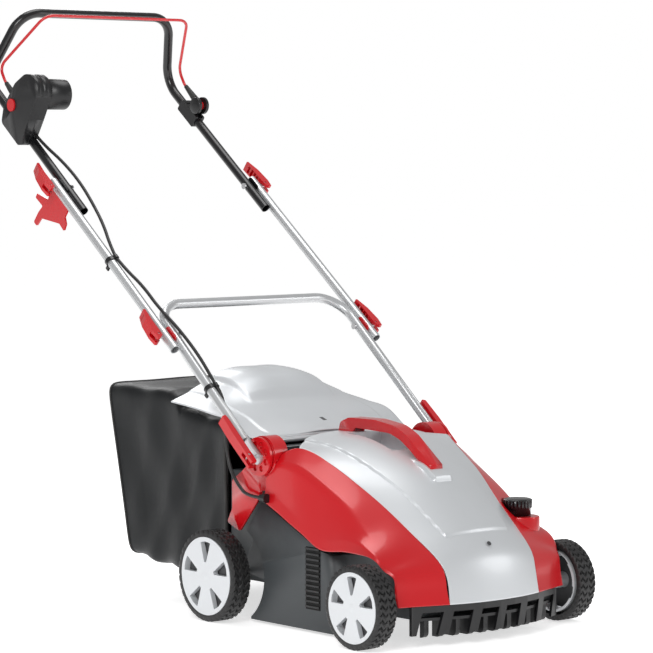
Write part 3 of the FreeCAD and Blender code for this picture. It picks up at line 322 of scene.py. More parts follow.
# Finish of each material slot of the record.
SLOT_FINISHES: dict[str, Finish] = {finish.name: finish for finish in (
    Finish("black_moulding", BLACK, 0.36, grain=1100.0, depth=0.00002),
    MetallicPaint("silver_paint", SILVER, 0.40, 0.32, 0.25, depth=0.000004, mottle=0.02,
                  flake=0.15),
    MetallicPaint("red_paint", RED, 0.30, 0.05, 0.35, depth=0.000004, mottle=0.04, flake=0.10),
    Finish("black_gloss", BLACK, 0.26, coat=0.2, depth=0.00003),
    Finish("dark_grey", (0.055, 0.055, 0.058), 0.5),
    BrushedMetal("steel", (0.55, 0.55, 0.56), 0.3, 1.0, depth=0.00002),
    BrushedMetal("spring_steel", (0.33, 0.33, 0.35), 0.34, 1.0, depth=0.00002),
    Rubber("rubber", (0.016, 0.016, 0.016), 0.62, depth=0.0001, dust=0.08),
    WovenCloth("bag_fabric", (0.004, 0.005, 0.006), 0.40, mottle=0.05, depth=0.00002),
    Finish("black_powder", (0.005, 0.005, 0.006), 0.24, grain=900.0, depth=0.000008, coat=0.2),
    Finish("red_gloss", RED, 0.24, coat=0.4, depth=0.00002, mottle=0.04),
    MetallicPaint("silver_tube", (0.58, 0.59, 0.60), 0.30, 0.60, 0.25, depth=0.000004, mottle=0.02,
                  flake=0.08),
    Rubber("tyre", (0.008, 0.008, 0.009), 0.5, depth=0.00005, dust=0.04),
    MetallicPaint("wheel_silver", (0.66, 0.68, 0.70), 0.36, 0.20, 0.25, depth=0.000004,
                  mottle=0.02, flake=0.10),
    Rubber("cable", (0.014, 0.014, 0.015), 0.4, depth=0.00003, dust=0.04),
)}

# Lighter moulding of the deck's side walls, and near-black painted shade for the gaps behind the
# louvres.
DECK_FINISH = Finish("deck_moulding", (0.050, 0.056, 0.060), 0.46, grain=1100.0, depth=0.00008,
                     mottle=0.06)
SHADOW_FINISH = Finish("painted_louvre_shade", (0.003, 0.003, 0.003), 0.8)


class Palette:
    """Keeps one built material for each finish."""

    def __init__(self) -> None:
        """Starts with no material built."""
        self.built: dict[str, bpy.types.Material] = {}

    def material(self, finish: Finish) -> bpy.types.Material:
        """The finish's material, built at its first use."""
        if finish.name not in self.built:
            self.built[finish.name] = finish.build()
        return self.built[finish.name]


# ---------------------------------------------------------------- surfaces


def unit(vectors: np.ndarray) -> np.ndarray:
    """Vectors along the last axis scaled to length 1."""
    return vectors / np.maximum(np.linalg.norm(vectors, axis=-1, keepdims=True), 1e-12)


def grid_faces(rows: int, columns: int, round_rows: bool, round_columns: bool) -> np.ndarray:
    """Quads between neighbours of a grid of points.

    Args:
        rows: number of rows.
        columns: number of columns.
        round_rows: join the last row to the first.
        round_columns: join the last column to the first.

    Returns:
        Array of four indices for each quad.
    """
    i = np.arange(rows if round_rows else rows - 1)[:, None]
    j = np.arange(columns if round_columns else columns - 1)[None, :]
    after_i, after_j = (i + 1) % rows, (j + 1) % columns
    corners = (i * columns + j, i * columns + after_j, after_i * columns + after_j,
               after_i * columns + j)
    return np.stack(np.broadcast_arrays(*corners), axis=-1).reshape(-1, 4)


@dataclass
class Surface:
    """Points and faces of a piece in the making; add() gathers several grids in one."""

    points: list[np.ndarray] = field(default_factory=list)
    faces: list[tuple[int, ...]] = field(default_factory=list)
    uvs: list[np.ndarray] = field(default_factory=list)

    def add(self, grid: np.ndarray, round_rows: bool = False, round_columns: bool = False,
            caps: bool = False, uv: np.ndarray | None = None) -> "Surface":
        """Adds a grid of points as quads.

        Args:
            grid: points, rows x columns x 3.
            round_rows: join the last row to the first.
            round_columns: join the last column to the first.
            caps: close the first and last row with one face each.
            uv: map coordinates, rows x columns x 2.

        Returns:
            The surface itself.
        """
        start = sum(len(p) for p in self.points)
        rows, columns = grid.shape[:2]
        self.points.append(grid.reshape(-1, 3))
        self.uvs.append(np.zeros((rows * columns, 2)) if uv is None else uv.reshape(-1, 2))
        quads = grid_faces(rows, columns, round_rows, round_columns) + start
        self.faces.extend(map(tuple, quads.tolist()))
        if caps:
            first = start + np.arange(columns)
            last = start + (rows - 1) * columns + np.arange(columns)
            self.faces.append(tuple(first[::-1].tolist()))
            self.faces.append(tuple(last.tolist()))
        return self

    def piece(self, name: str, palette: Palette, body: str, slot: str, angle: float = 30.0,
              **options: object) -> bpy.types.Object:
        """Makes the mesh and hands it to finish_piece().

        Args:
            name: name of the piece.
            palette, body, slot, angle, options: as finish_piece() has them.

        Returns:
            The object, linked to the scene.
        """
        mesh = bpy.data.meshes.new(name)
        mesh.from_pydata(np.concatenate(self.points).tolist(), [], self.faces)
        layer = mesh.uv_layers.new(name="cloth")
        loops = np.empty(len(mesh.loops), dtype=np.int64)
        mesh.loops.foreach_get("vertex_index", loops)
        layer.data.foreach_set("uv", np.concatenate(self.uvs)[loops].astype(np.float32).ravel())
        return finish_piece(mesh, name, palette, body, slot, angle, **options)


def tidy_mesh(mesh: bpy.types.Mesh, weld: bool) -> None:
    """Merges doubled points where asked, and turns the faces outwards."""
    work = bmesh.new()
    work.from_mesh(mesh)
    if weld:
        bmesh.ops.remove_doubles(work, verts=work.verts, dist=1e-6)
    bmesh.ops.recalc_face_normals(work, faces=work.faces)
    work.to_mesh(mesh)
    work.free()


def finish_piece(mesh: bpy.types.Mesh, name: str, palette: Palette, body: str, slot: str,
                 angle: float, weld: bool = False, skin: float = 0.0, instead: str = "",
                 finish: Finish | None = None) -> bpy.types.Object:
    """Makes a mesh into a smooth piece with its finish, on its body.

    Args:
        mesh: the mesh.
        name: name of the piece.
        palette: the built finishes.
        body: body that it goes with, or nothing for a piece on no body.
        slot: material slot whose finish it takes, unless finish is given.
        angle: edges sharper than this many degrees stay sharp.
        weld: merge points that lie together.
        skin: thickness given inwards to an open surface.
        instead: CAD node whose place it takes.
        finish: its finish where it isn't the slot's own.

    Returns:
        The object, linked to the scene.
    """
    mesh.materials.clear()
    mesh.materials.append(palette.material(finish or SLOT_FINISHES[slot]))
    tidy_mesh(mesh, weld)
    mesh.polygons.foreach_set("use_smooth", np.ones(len(mesh.polygons), dtype=bool))
    mesh.set_sharp_from_angle(angle=math.radians(angle))
    mesh.update()
    piece = bpy.data.objects.new(name, mesh)
    bpy.context.scene.collection.objects.link(piece)
    if skin:
        wall = piece.modifiers.new("skin", "SOLIDIFY")
        wall.thickness, wall.offset = skin, -1.0
    if instead:
        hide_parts(instead)
    if body:
        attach(piece, body)
    return piece


def parabola(first: np.ndarray, control: np.ndarray, last: np.ndarray,
             t: np.ndarray) -> np.ndarray:
    """Parabola from first to last whose end tangents meet at the control point."""
    return (1 - t) ** 2 * first + 2 * t * (1 - t) * control + t ** 2 * last


def placed(points: np.ndarray, front_axle: float) -> np.ndarray:
    """Points given in mm from the ground below the front axle, in metres of the frame."""
    return points / 1000 + np.array([0.0, front_axle, 0.0])


def smooth_route(controls: np.ndarray, steps: int = 16) -> np.ndarray:
    """Curve that leaves the first control point, touches the middle of every inner leg
    and ends at the last: a chain of parabolas, each ruled by one control point.

    Args:
        controls: control points, n x 3.
        steps: samples on each parabola.

    Returns:
        Points along the curve.
    """
    middles = (controls[:-1] + controls[1:]) / 2
    starts = np.concatenate([controls[:1], middles[1:-1]])
    ends = np.concatenate([middles[1:-1], controls[-1:]])
    t = np.linspace(0.0, 1.0, steps, endpoint=False)[None, :, None]
    bends = parabola(starts[:, None], controls[1:-1][:, None], ends[:, None], t)
    return np.concatenate([bends.reshape(-1, 3), controls[-1:]])


def tube_grid(route: np.ndarray, radius: np.ndarray | float, around: int,
              closed: bool = False) -> np.ndarray:
    """Rings of points square to a route, all turned by the direction it spreads least in.

    Args:
        route: points of the centre line.
        radius: one radius, or one for each point.
        around: points of each ring.
        closed: the route's end meets its start.

    Returns:
        Points, route x around x 3.
    """
    if closed:
        heading = unit(np.roll(route, -1, axis=0) - np.roll(route, 1, axis=0))
    else:
        heading = unit(np.gradient(route, axis=0))
    spread = np.linalg.svd(route - route.mean(axis=0))[2][2]
    side = unit(np.cross(heading, spread))
    up = np.cross(side, heading)
    angle = np.linspace(0, math.tau, around, endpoint=False)
    reach = np.broadcast_to(np.asarray(radius, dtype=float), (len(route),))[:, None, None]
    ring = side[:, None] * np.cos(angle)[None, :, None] + up[:, None] * np.sin(angle)[None, :, None]
    return route[:, None] + reach * ring


def lathe_grid(profile: np.ndarray, centre: np.ndarray, outward: float = 1.0,
               around: int = 72, upright: bool = False) -> np.ndarray:
    """A profile of (radius, depth) turned about a line along X, or an upright one.

    Args:
        profile: pairs of radius and place along the axis, one row for all angles or one
            row for each.
        centre: point on the axis where depth is 0.
        outward: sign of the axis in which depth grows.
        around: number of steps round the axis.
        upright: turn about a line along Z.

    Returns:
        Points, around x profile x 3.
    """
    angle = np.linspace(0, math.tau, around, endpoint=False)[:, None]
    radius, depth = profile[..., 0], profile[..., 1]
    turned = np.stack(np.broadcast_arrays(outward * depth, radius * np.cos(angle),
                                          radius * np.sin(angle)), -1)
    return centre + (np.roll(turned, -1, axis=-1) if upright else turned)


def spline(knots: np.ndarray, values: np.ndarray, at: np.ndarray) -> np.ndarray:
    """Natural cubic spline through values, along their first axis.

    Args:
        knots: growing parameter of each value.
        values: the values, knots x anything.
        at: parameters to read.

    Returns:
        The values read, at x anything.
    """
    gap = np.diff(knots)
    count = len(knots)
    system = np.eye(count)
    middle = np.arange(1, count - 1)
    system[middle, middle - 1] = gap[:-1]
    system[middle, middle] = 2 * (gap[:-1] + gap[1:])
    system[middle, middle + 1] = gap[1:]
    flat = values.reshape(count, -1)
    slope = np.diff(flat, axis=0) / gap[:, None]
    right = np.zeros_like(flat)
    right[1:-1] = 6 * np.diff(slope, axis=0)
    bend = np.linalg.solve(system, right)
    k = np.clip(np.searchsorted(knots, at, side="right") - 1, 0, count - 2)
    h, a, b = gap[k][:, None], (knots[k + 1] - at)[:, None], (at - knots[k])[:, None]
    read = (bend[k] * a ** 3 + bend[k + 1] * b ** 3) / (6 * h)
    read += (flat[k] / h - bend[k] * h / 6) * a + (flat[k + 1] / h - bend[k + 1] * h / 6) * b
    return read.reshape((len(at),) + values.shape[1:])


def travel(table: np.ndarray) -> np.ndarray:
    """Mean distance run along the rows of a table of points, from 0 to 1."""
    steps = np.linalg.norm(np.diff(table, axis=0), axis=-1)
    steps = steps.reshape(len(steps), -1).mean(axis=1)
    run = np.concatenate([[0.0], np.cumsum(steps)])
    return run / run[-1]


def ease(value: np.ndarray) -> np.ndarray:
    """Smooth step of a value between 0 and 1."""
    value = np.clip(value, 0.0, 1.0)
    return value * value * (3 - 2 * value)


# ---------------------------------------------------------------- covers


@dataclass
class HoodCover:
    """Smooth silver hood with a raised middle panel and a recess below the handle.

    Lengths of the stations are millimetres from the ground below the front axle.

    Attributes:
        edge: border with the side shells at each station: x, y, z.
        crown: middle line at the same stations: y, z.
        panel_start: distance along the hood where the raised panel starts, 0 to 1.
        panel_margin: distance of the raised panel from the border.
        panel_rise: height of the raised panel.
        pad: half width, first y, last y and height of the foot pad below the handle.
        recess: first y, last y, half width and floor height of the finger recess.
        width_there: half width of the hood at the recess.
        panel_slope: run of the panel's walls along and across, as shares of the hood.
        pad_slope: run of the pad's walls at its sides, front and rear.
        rows: rows of points along the hood.
        columns: columns of points over each flank and over the recess.
        fullness: power that keeps the hood's back flat and its flanks round.
        overlap: how far the hood reaches below the side shells.
        skin: thickness of the cover in metres.
    """

    palette: Palette
    front_axle: float
    edge: tuple[tuple[float, float, float], ...] = (
        (127, -97, 87), (126, -86, 143), (129, -77, 163), (136, -45, 194), (145, 1, 226),
        (161, 83, 284), (180, 158, 332), (190, 211, 360), (204, 260, 383), (213, 283, 390))
    crown: tuple[tuple[float, float], ...] = (
        (-117, 87), (-105, 147), (-96, 172), (-70, 206), (-25, 245),
        (73, 322), (165, 370), (225, 391), (300, 402), (383, 402))
    panel_start: float = 0.262
    panel_margin: float = 50.0
    panel_rise: float = 4.2
    pad: tuple[float, float, float, float] = (27.0, 62.0, 150.0, 9.0)
    recess: tuple[float, float, float, float] = (180.0, 320.0, 42.5, 369.0)
    width_there: float = 190.0
    panel_slope: tuple[float, float] = (0.012, 0.022)
    pad_slope: tuple[float, float, float] = (5.0, 9.0, 50.0)
    rows: int = 204
    columns: tuple[int, int] = (80, 40)
    fullness: float = 2.2
    overlap: float = 0.8
    skin: float = 0.003

    def surface(self) -> np.ndarray:
        """Points of the outer face in mm, along x across x 3.

        At each station the middle stands above the border by a share 1 - |u|^fullness of
        the crown's height, where u runs from -1 to 1 across the hood.
        """
        edge, crown = np.array(self.edge, float), np.array(self.crown, float)
        both = np.stack([edge, np.insert(crown, 0, 0.0, axis=1)], axis=1)
        knots = travel(both)
        first, last, half, floor = self.recess
        along = np.sort(np.concatenate([np.linspace(0, 1, self.rows), self.rows_at(knots, crown)]))
        read = spline(knots, both, along)
        border, middle = read[:, 0], read[:, 1]
        notch, wall = half / self.width_there, 0.006
        flank = np.linspace(notch + wall, 1, self.columns[0])
        bay = np.linspace(-notch, notch, self.columns[1])
        across = np.concatenate([-flank[::-1], bay, flank])[None, :]
        full = 1 - np.abs(across) ** self.fullness
        x = across * (border[:, :1] + self.overlap)
        y = border[:, 1:2] + (middle - border)[:, 1:2] * full
        z = border[:, 2:3] + (middle - border)[:, 2:3] * full
        limit = 1 - self.panel_margin / border[:, :1]
        rise = ease((along[:, None] - self.panel_start) / self.panel_slope[0]) * ease(
            (limit - np.abs(across)) / self.panel_slope[1])
        steep = np.gradient(middle[:, 2]) / np.maximum(np.gradient(middle[:, 1]), 1e-6)
        lean = unit(np.stack([-steep, np.ones_like(steep)], -1))
        half_pad, pad_first, pad_last, pad_rise = self.pad
        at_side, in_front, behind = self.pad_slope
        foot = ease((half_pad - np.abs(x)) / at_side) * ease((y - pad_first) / in_front)
        foot = foot * ease((pad_last - y) / behind)
        lift = self.panel_rise * rise + pad_rise * foot
        y = y + lift * lean[:, :1]
        z = z + lift * lean[:, 1:]
        dip = (np.abs(across) <= notch + 1e-9) & (middle[:, 1:2] > first) & (middle[:, 1:2] < last)
        z = np.where(dip, np.minimum(z, floor), z)
        return np.stack([x, y, z], -1)

    def rows_at(self, knots: np.ndarray, crown: np.ndarray) -> np.ndarray:
        """Rows just before and after each end of the recess, for its upright walls."""
        fine = np.linspace(0, 1, 2000)
        line = spline(knots, crown[:, :1], fine)[:, 0]
        places = [np.interp(y, line, fine) for y in self.recess[:2]]
        return np.array([place + shift for place in places for shift in (-0.001, 0.001)])

    def build(self) -> list[bpy.types.Object]:
        """Builds the cover and the small lock below its middle."""
        cover = Surface().add(placed(self.surface(), self.front_axle)).piece(
            "smooth_hood", self.palette, "deck", "silver_paint", 28.0, skin=self.skin,
            instead="hood_cover")
        return [cover, self.build_lock()]

    def build_lock(self) -> bpy.types.Object:
        """Dark grey dish in the front of the hood, painted shade for its screw hole, turned upright
        and then tilted.
        """
        profile = np.array([(0.0001, 0.0002), (0.0042, 0.0002), (0.0046, 0.0012), (0.0050, 0.0)])
        x, y, z = np.moveaxis(lathe_grid(profile, np.zeros(3), around=32, upright=True), -1, 0)
        tilt = math.radians(48)
        grid = np.array([0.0, self.front_axle - 0.0785, 0.201]) + np.stack(
            [x, y * math.cos(tilt) - z * math.sin(tilt), y * math.sin(tilt) + z * math.cos(tilt)],
            -1)
        return Surface().add(grid.swapaxes(0, 1), False, True).piece(
            "hood_screw_well", self.palette, "deck", "dark_grey", weld=True)


@dataclass
class SideShell:
    """Smooth red shell of one side, from the front rail to the handle's knuckle.

    Lengths of the stations are millimetres from the ground below the front axle, on the
    right side of the machine; the left side is the mirror image.

    Attributes:
        stations: hood border, shoulder, top and foot of the light ledge, each x, y, z.
        soften: share of each band that the rounding beside a crease takes.
        pivot: y and z of the knuckle, which the shell goes round.
        drum: radius kept free round the knuckle.
        well: x, y, radius and floor height of the knob's well.
        turret: x and y of the tower in the well.
        steps: places across each band and each rounding, from the hood's border down.
        skin: thickness of the shell in metres.
    """

    palette: Palette
    side: Side
    front_axle: float
    stations: tuple[tuple[tuple[float, float, float], ...], ...] = (
        ((127.5, -97, 87), (208, -68, 87), (236, -60, 87), (236.5, -57, 87)),
        ((128.6, -88, 122), (209.5, -61, 121), (235.6, -53.5, 120), (238, -50, 118)),
        ((130.5, -76, 163), (211, -52, 158), (235, -47, 152), (239, -46, 147)),
        ((137, -46, 192), (214, -34, 173), (243, -30, 166), (248, -30, 160)),
        ((142.5, -19, 212), (218, -19, 188), (250, -17, 181), (255, -17, 175)),
        ((153.5, 42, 256), (225, 42, 227), (252, 42, 209), (256, 42, 188)),
        ((166.5, 102, 297), (228, 102, 271), (252, 102, 215), (256, 102, 188)),
        ((183.5, 172, 340), (234, 172, 309), (252, 172, 211), (256, 172, 187)),
        ((192.5, 219, 364), (238, 219, 333), (252, 219, 236), (256, 219, 209)),
        ((207.5, 267, 385), (245, 267, 353), (252, 267, 259), (256, 267, 231)),
        ((222.5, 300, 385), (248, 300, 356), (252, 300, 276), (256, 300, 247)),
        ((240.5, 334, 356), (250, 334, 344), (252, 334, 292), (256, 334, 262)),
        ((246.5, 352, 327), (251, 352, 320), (252, 352, 298), (256, 352, 270)))
    soften: float = 0.16
    pivot: tuple[float, float] = (364.0, 367.0)
    drum: float = 44.8
    well: tuple[float, float, float, float] = (199.0, 42.0, 34.6, 232.2)
    turret: tuple[float, float] = (202.0, 31.0)
    steps: tuple[int, ...] = (44, 14, 30, 10, 10)
    skin: float = 0.0025

    def across(self, table: np.ndarray) -> np.ndarray:
        """Fills each row between its four lines, rounding the two inner creases.

        Args:
            table: rows x 4 x 3 points.

        Returns:
            Rows x places x 3 points: straight bands joined by parabolas that leave and
            meet the bands at the softened share beside each crease.
        """
        ends = (0, 1 - self.soften, 1 + self.soften, 2 - self.soften, 2 + self.soften, 3)
        place = np.concatenate([[0.0]] + [np.linspace(first, last, count)[1:] for first, last, count
                                          in zip(ends, ends[1:], self.steps)])
        lower = np.clip(place.astype(int), 0, 2)
        share = (place - lower)[None, :, None]
        result = table[:, lower] * (1 - share) + table[:, lower + 1] * share
        for crease in (1, 2):
            t = (place - crease + self.soften) / (2 * self.soften)
            inside = (t >= 0) & (t <= 1)
            t = np.clip(t, 0, 1)[None, :, None]
            before = table[:, crease] + (table[:, crease - 1] - table[:, crease]) * self.soften
            after = table[:, crease] + (table[:, crease + 1] - table[:, crease]) * self.soften
            bend = parabola(before[:, None], table[:, crease][:, None], after[:, None], t)
            result = np.where(inside[None, :, None], bend, result)
        return result

    def surface(self) -> np.ndarray:
        """Points of the outer face in mm."""
        table = np.array(self.stations, float)
        read = spline(travel(table), table, np.linspace(0, 1, 300))
        points = self.across(read)
        offset = points[..., 1:] - np.array(self.pivot)
        distance = np.linalg.norm(offset, axis=-1, keepdims=True)
        outside = offset * np.maximum(1.0, self.drum / np.maximum(distance, 1e-6))
        points[..., 1:] = np.array(self.pivot) + outside
        if self.side is Side.RIGHT:
            x, y, radius, floor = self.well
            near = np.hypot(points[..., 0] - x, points[..., 1] - y) < radius
            points[..., 2] = np.where(near, np.minimum(points[..., 2], floor), points[..., 2])
        points[..., 0] *= self.side.value
        return points

    def build(self) -> list[bpy.types.Object]:
        """Builds the shell, and on the right side the round turret below the knob."""
        points = placed(self.surface(), self.front_axle)
        name = self.side.name.lower()
        if self.side is Side.LEFT:
            points = points[:, ::-1]
        shell = Surface().add(points).piece(
            f"smooth_shell_{name}", self.palette, "deck", "red_paint", 50.0, skin=self.skin,
            instead=f"side_shell_{name}")
        if sum(face.normal.z for face in shell.data.polygons) < 0:
            shell.data.flip_normals()
        return [shell, self.build_turret()] if self.side is Side.RIGHT else [shell]

    def build_turret(self) -> bpy.types.Object:
        """Round tower that carries the height knob."""
        top, foot = self.well[3] / 1000 - 0.0004, 0.196
        profile = np.array([(0.0002, top), (0.0335, top), (0.0355, top), (0.0372, top - 0.0008),
                            (0.038, top - 0.0026), (0.038, foot), (0.0002, foot)])
        centre = placed(np.array([*self.turret, 0.0]), self.front_axle)
        grid = lathe_grid(profile, centre, upright=True)
        return Surface().add(grid, True, True).piece("knob_turret", self.palette, "deck",
                                                     "red_paint", 40.0, weld=True)


@dataclass
class RearFlap:
    """Smooth silver flap over the bag's mouth, with a raised hump at its rear edge.

    Lengths of the stations are millimetres from the ground below the front axle.

    Attributes:
        stations: y, half width, height at the side edge, at the shoulder, in the middle.
        hump_start: where the hump rises.
        hump_half: share of the half width that the hump takes.
        hump_rise: height of the hump.
        hump_slope: run of the hump's walls, in mm along and as a share across.
        field: where the raised field starts, the run of its wall there, the share of the
            half width that it takes, and the run of its wall across.
        field_rise: height of the field above the flap's border.
        grid: rows and columns of points.
        places: where each column's heights stand across the flap, from -1 to 1.
        hinge: y and z of the hinge in metres, and its half length.
        slot: y, half width and length of the latch's slot in metres.
        skin: thickness of the flap in metres.
    """

    palette: Palette
    front_axle: float
    stations: tuple[tuple[float, float, float, float, float], ...] = (
        (408, 207, 397, 405, 408), (448, 226, 405, 416, 420), (501, 232, 433, 438, 438),
        (560, 233, 445, 462, 466), (606, 234, 452, 492, 503), (660, 234, 458, 508, 520),
        (710, 234, 463, 511, 523))
    hump_start: float = 556.0
    hump_half: float = 0.56
    hump_rise: float = 6.0
    hump_slope: tuple[float, float] = (26.0, 0.07)
    field: tuple[float, float, float, float] = (425.0, 30.0, 0.80, 0.05)
    field_rise: float = 2.2
    grid: tuple[int, int] = (150, 190)
    places: tuple[float, ...] = (-1, -0.72, -0.47, -0.22, 0, 0.22, 0.47, 0.72, 1)
    hinge: tuple[float, float, float] = (0.399, 0.394, 0.18)
    slot: tuple[float, float, float] = (0.452, 0.0045, 0.016)
    skin: float = 0.003

    def surface(self) -> np.ndarray:
        """Points of the outer face in mm."""
        rows = np.array(self.stations, float)
        y, half, edge, shoulder, middle = rows.T
        between = (edge + shoulder) / 2
        columns = np.stack([edge, between, shoulder, middle, middle, middle, shoulder, between,
                            edge], axis=1)
        along, across = np.linspace(0, 1, self.grid[0]), np.linspace(-1, 1, self.grid[1])
        knots = travel(np.stack([y, middle], -1))
        height = spline(np.array(self.places), spline(knots, columns, along).T, across).T
        line, reach = spline(knots, rows[:, :2], along).T
        rise = ease((line[:, None] - self.hump_start) / self.hump_slope[0]) * ease(
            (self.hump_half - np.abs(across))[None, :] / self.hump_slope[1])
        start, start_run, share, share_run = self.field
        crease = ease((share - np.abs(across)) / share_run)[None, :] * ease(
            (line - start) / start_run)[:, None]
        return np.stack([across[None, :] * reach[:, None],
                         np.broadcast_to(line[:, None], height.shape),
                         height + self.hump_rise * rise + self.field_rise * crease], -1)

    def build(self) -> list[bpy.types.Object]:
        """Builds the flap, its hinge barrel and the small dark box of painted shade in its latch's
        slot.
        """
        points = placed(self.surface(), self.front_axle)
        cover = Surface().add(points).piece("smooth_flap", self.palette, "flap", "silver_paint",
                                            28.0, skin=self.skin, instead="rear_flap")
        y, z, half = self.hinge
        barrel = lathe_grid(np.array([(0.0001, -half), (0.006, -half), (0.006, half),
                                      (0.0001, half)]),
                            np.array([0.0, self.front_axle + y, z]), around=32)
        web = np.array([[(x, self.front_axle + y, z) for y, z in
                         ((0.399, 0.3965), (0.412, 0.4010), (0.412, 0.4045), (0.399, 0.4000))]
                        for x in (-half, half)])
        hinge = Surface().add(barrel, True, False).add(web, False, True, caps=True)
        return [cover, hinge.piece("flap_barrel", self.palette, "flap", "silver_paint", weld=True),
                self.build_slot(points)]

    def build_slot(self, points: np.ndarray) -> bpy.types.Object:
        """Dark box let into the middle of the flap near its hinge, painted shade for the latch's
        slot.

        Args:
            points: the flap's surface in metres.

        Returns:
            The slot.
        """
        y, half, length = self.slot
        middle = points[:, points.shape[1] // 2]
        row = int(np.argmin(np.abs(middle[:, 1] - self.front_axle - y)))
        heading = unit(middle[row + 10] - middle[row])
        lift = np.array([0.0, -heading[2], heading[1]])
        corners = [middle[row] + lift * h + np.array([x, 0, 0]) for h, x in
                   ((0.0006, -half), (0.0006, half), (-0.002, half), (-0.002, -half))]
        grid = np.array([corners, [corner + heading * length for corner in corners]])
        return Surface().add(grid, False, True, caps=True).piece(
            "flap_slot", self.palette, "flap", "dark_grey")


@dataclass
class SmoothCopy:
    """Copy of a CAD node with its doubled points merged and its soft creases smoothed."""

    palette: Palette
    node: str
    body: str
    slot: str
    finish: Finish | None = None
    angle: float = 38.0

    def build(self) -> list[bpy.types.Object]:
        """Builds the copy in the place of the node."""
        source = bpy.data.objects[self.node]
        mesh = source.data.copy()
        mesh.transform(source.matrix_world)
        return [finish_piece(mesh, f"smooth_{self.node}", self.palette, self.body, self.slot,
                             self.angle, weld=True, instead=self.node, finish=self.finish)]


@dataclass
class BailCap:
    """Domed black caps on both sides of the bail's right bearing."""

    palette: Palette
    centre: Vector
    faces: tuple[float, float] = (0.256, 0.282)
    radius: float = 0.0212
    dome: float = 0.006

    def build(self) -> list[bpy.types.Object]:
        """Builds the two caps as one piece."""
        angle = np.linspace(0.0, math.pi / 2, 10)
        rounded = np.stack([self.radius * np.sin(angle), self.dome * np.cos(angle)], -1)
        rounded[0, 0] = 0.0001
        profile = np.concatenate([rounded, [(self.radius, -0.0008), (0.0001, -0.0008)]])
        surface = Surface()
        for face, outward in zip(self.faces, (-1.0, 1.0)):
            middle = np.array([face, self.centre.y, self.centre.z])
            surface.add(lathe_grid(profile, middle, outward, 48), True, True)
        return [surface.piece("bail_caps", self.palette, "upper", "black_moulding", 40.0,
                              weld=True)]


@dataclass
class LouvreShadow:
    """Near-black panel between the slats of one side of the deck, painted shade for the gaps
    between them.

    Attributes:
        span: first y, last y, lowest and highest z in mm from the front axle's ground point.
        faces: distances of the panel's two faces from the machine's middle, in mm.
    """

    palette: Palette
    side: Side
    front_axle: float
    span: tuple[float, float, float, float] = (190.0, 237.0, 51.0, 184.0)
    faces: tuple[float, float] = (234.6, 236.2)

    def build(self) -> list[bpy.types.Object]:
        """Builds the panel."""
        y0, y1, z0, z1 = self.span
        grid = np.array([[(self.side.value * x, y, z) for y, z in
                          ((y0, z0), (y1, z0), (y1, z1), (y0, z1))] for x in self.faces])
        return [Surface().add(placed(grid, self.front_axle), False, True, caps=True).piece(
            f"louvre_shadow_{self.side.name.lower()}", self.palette, "deck", "black_moulding",
            finish=SHADOW_FINISH)]


# ---------------------------------------------------------------- wheels


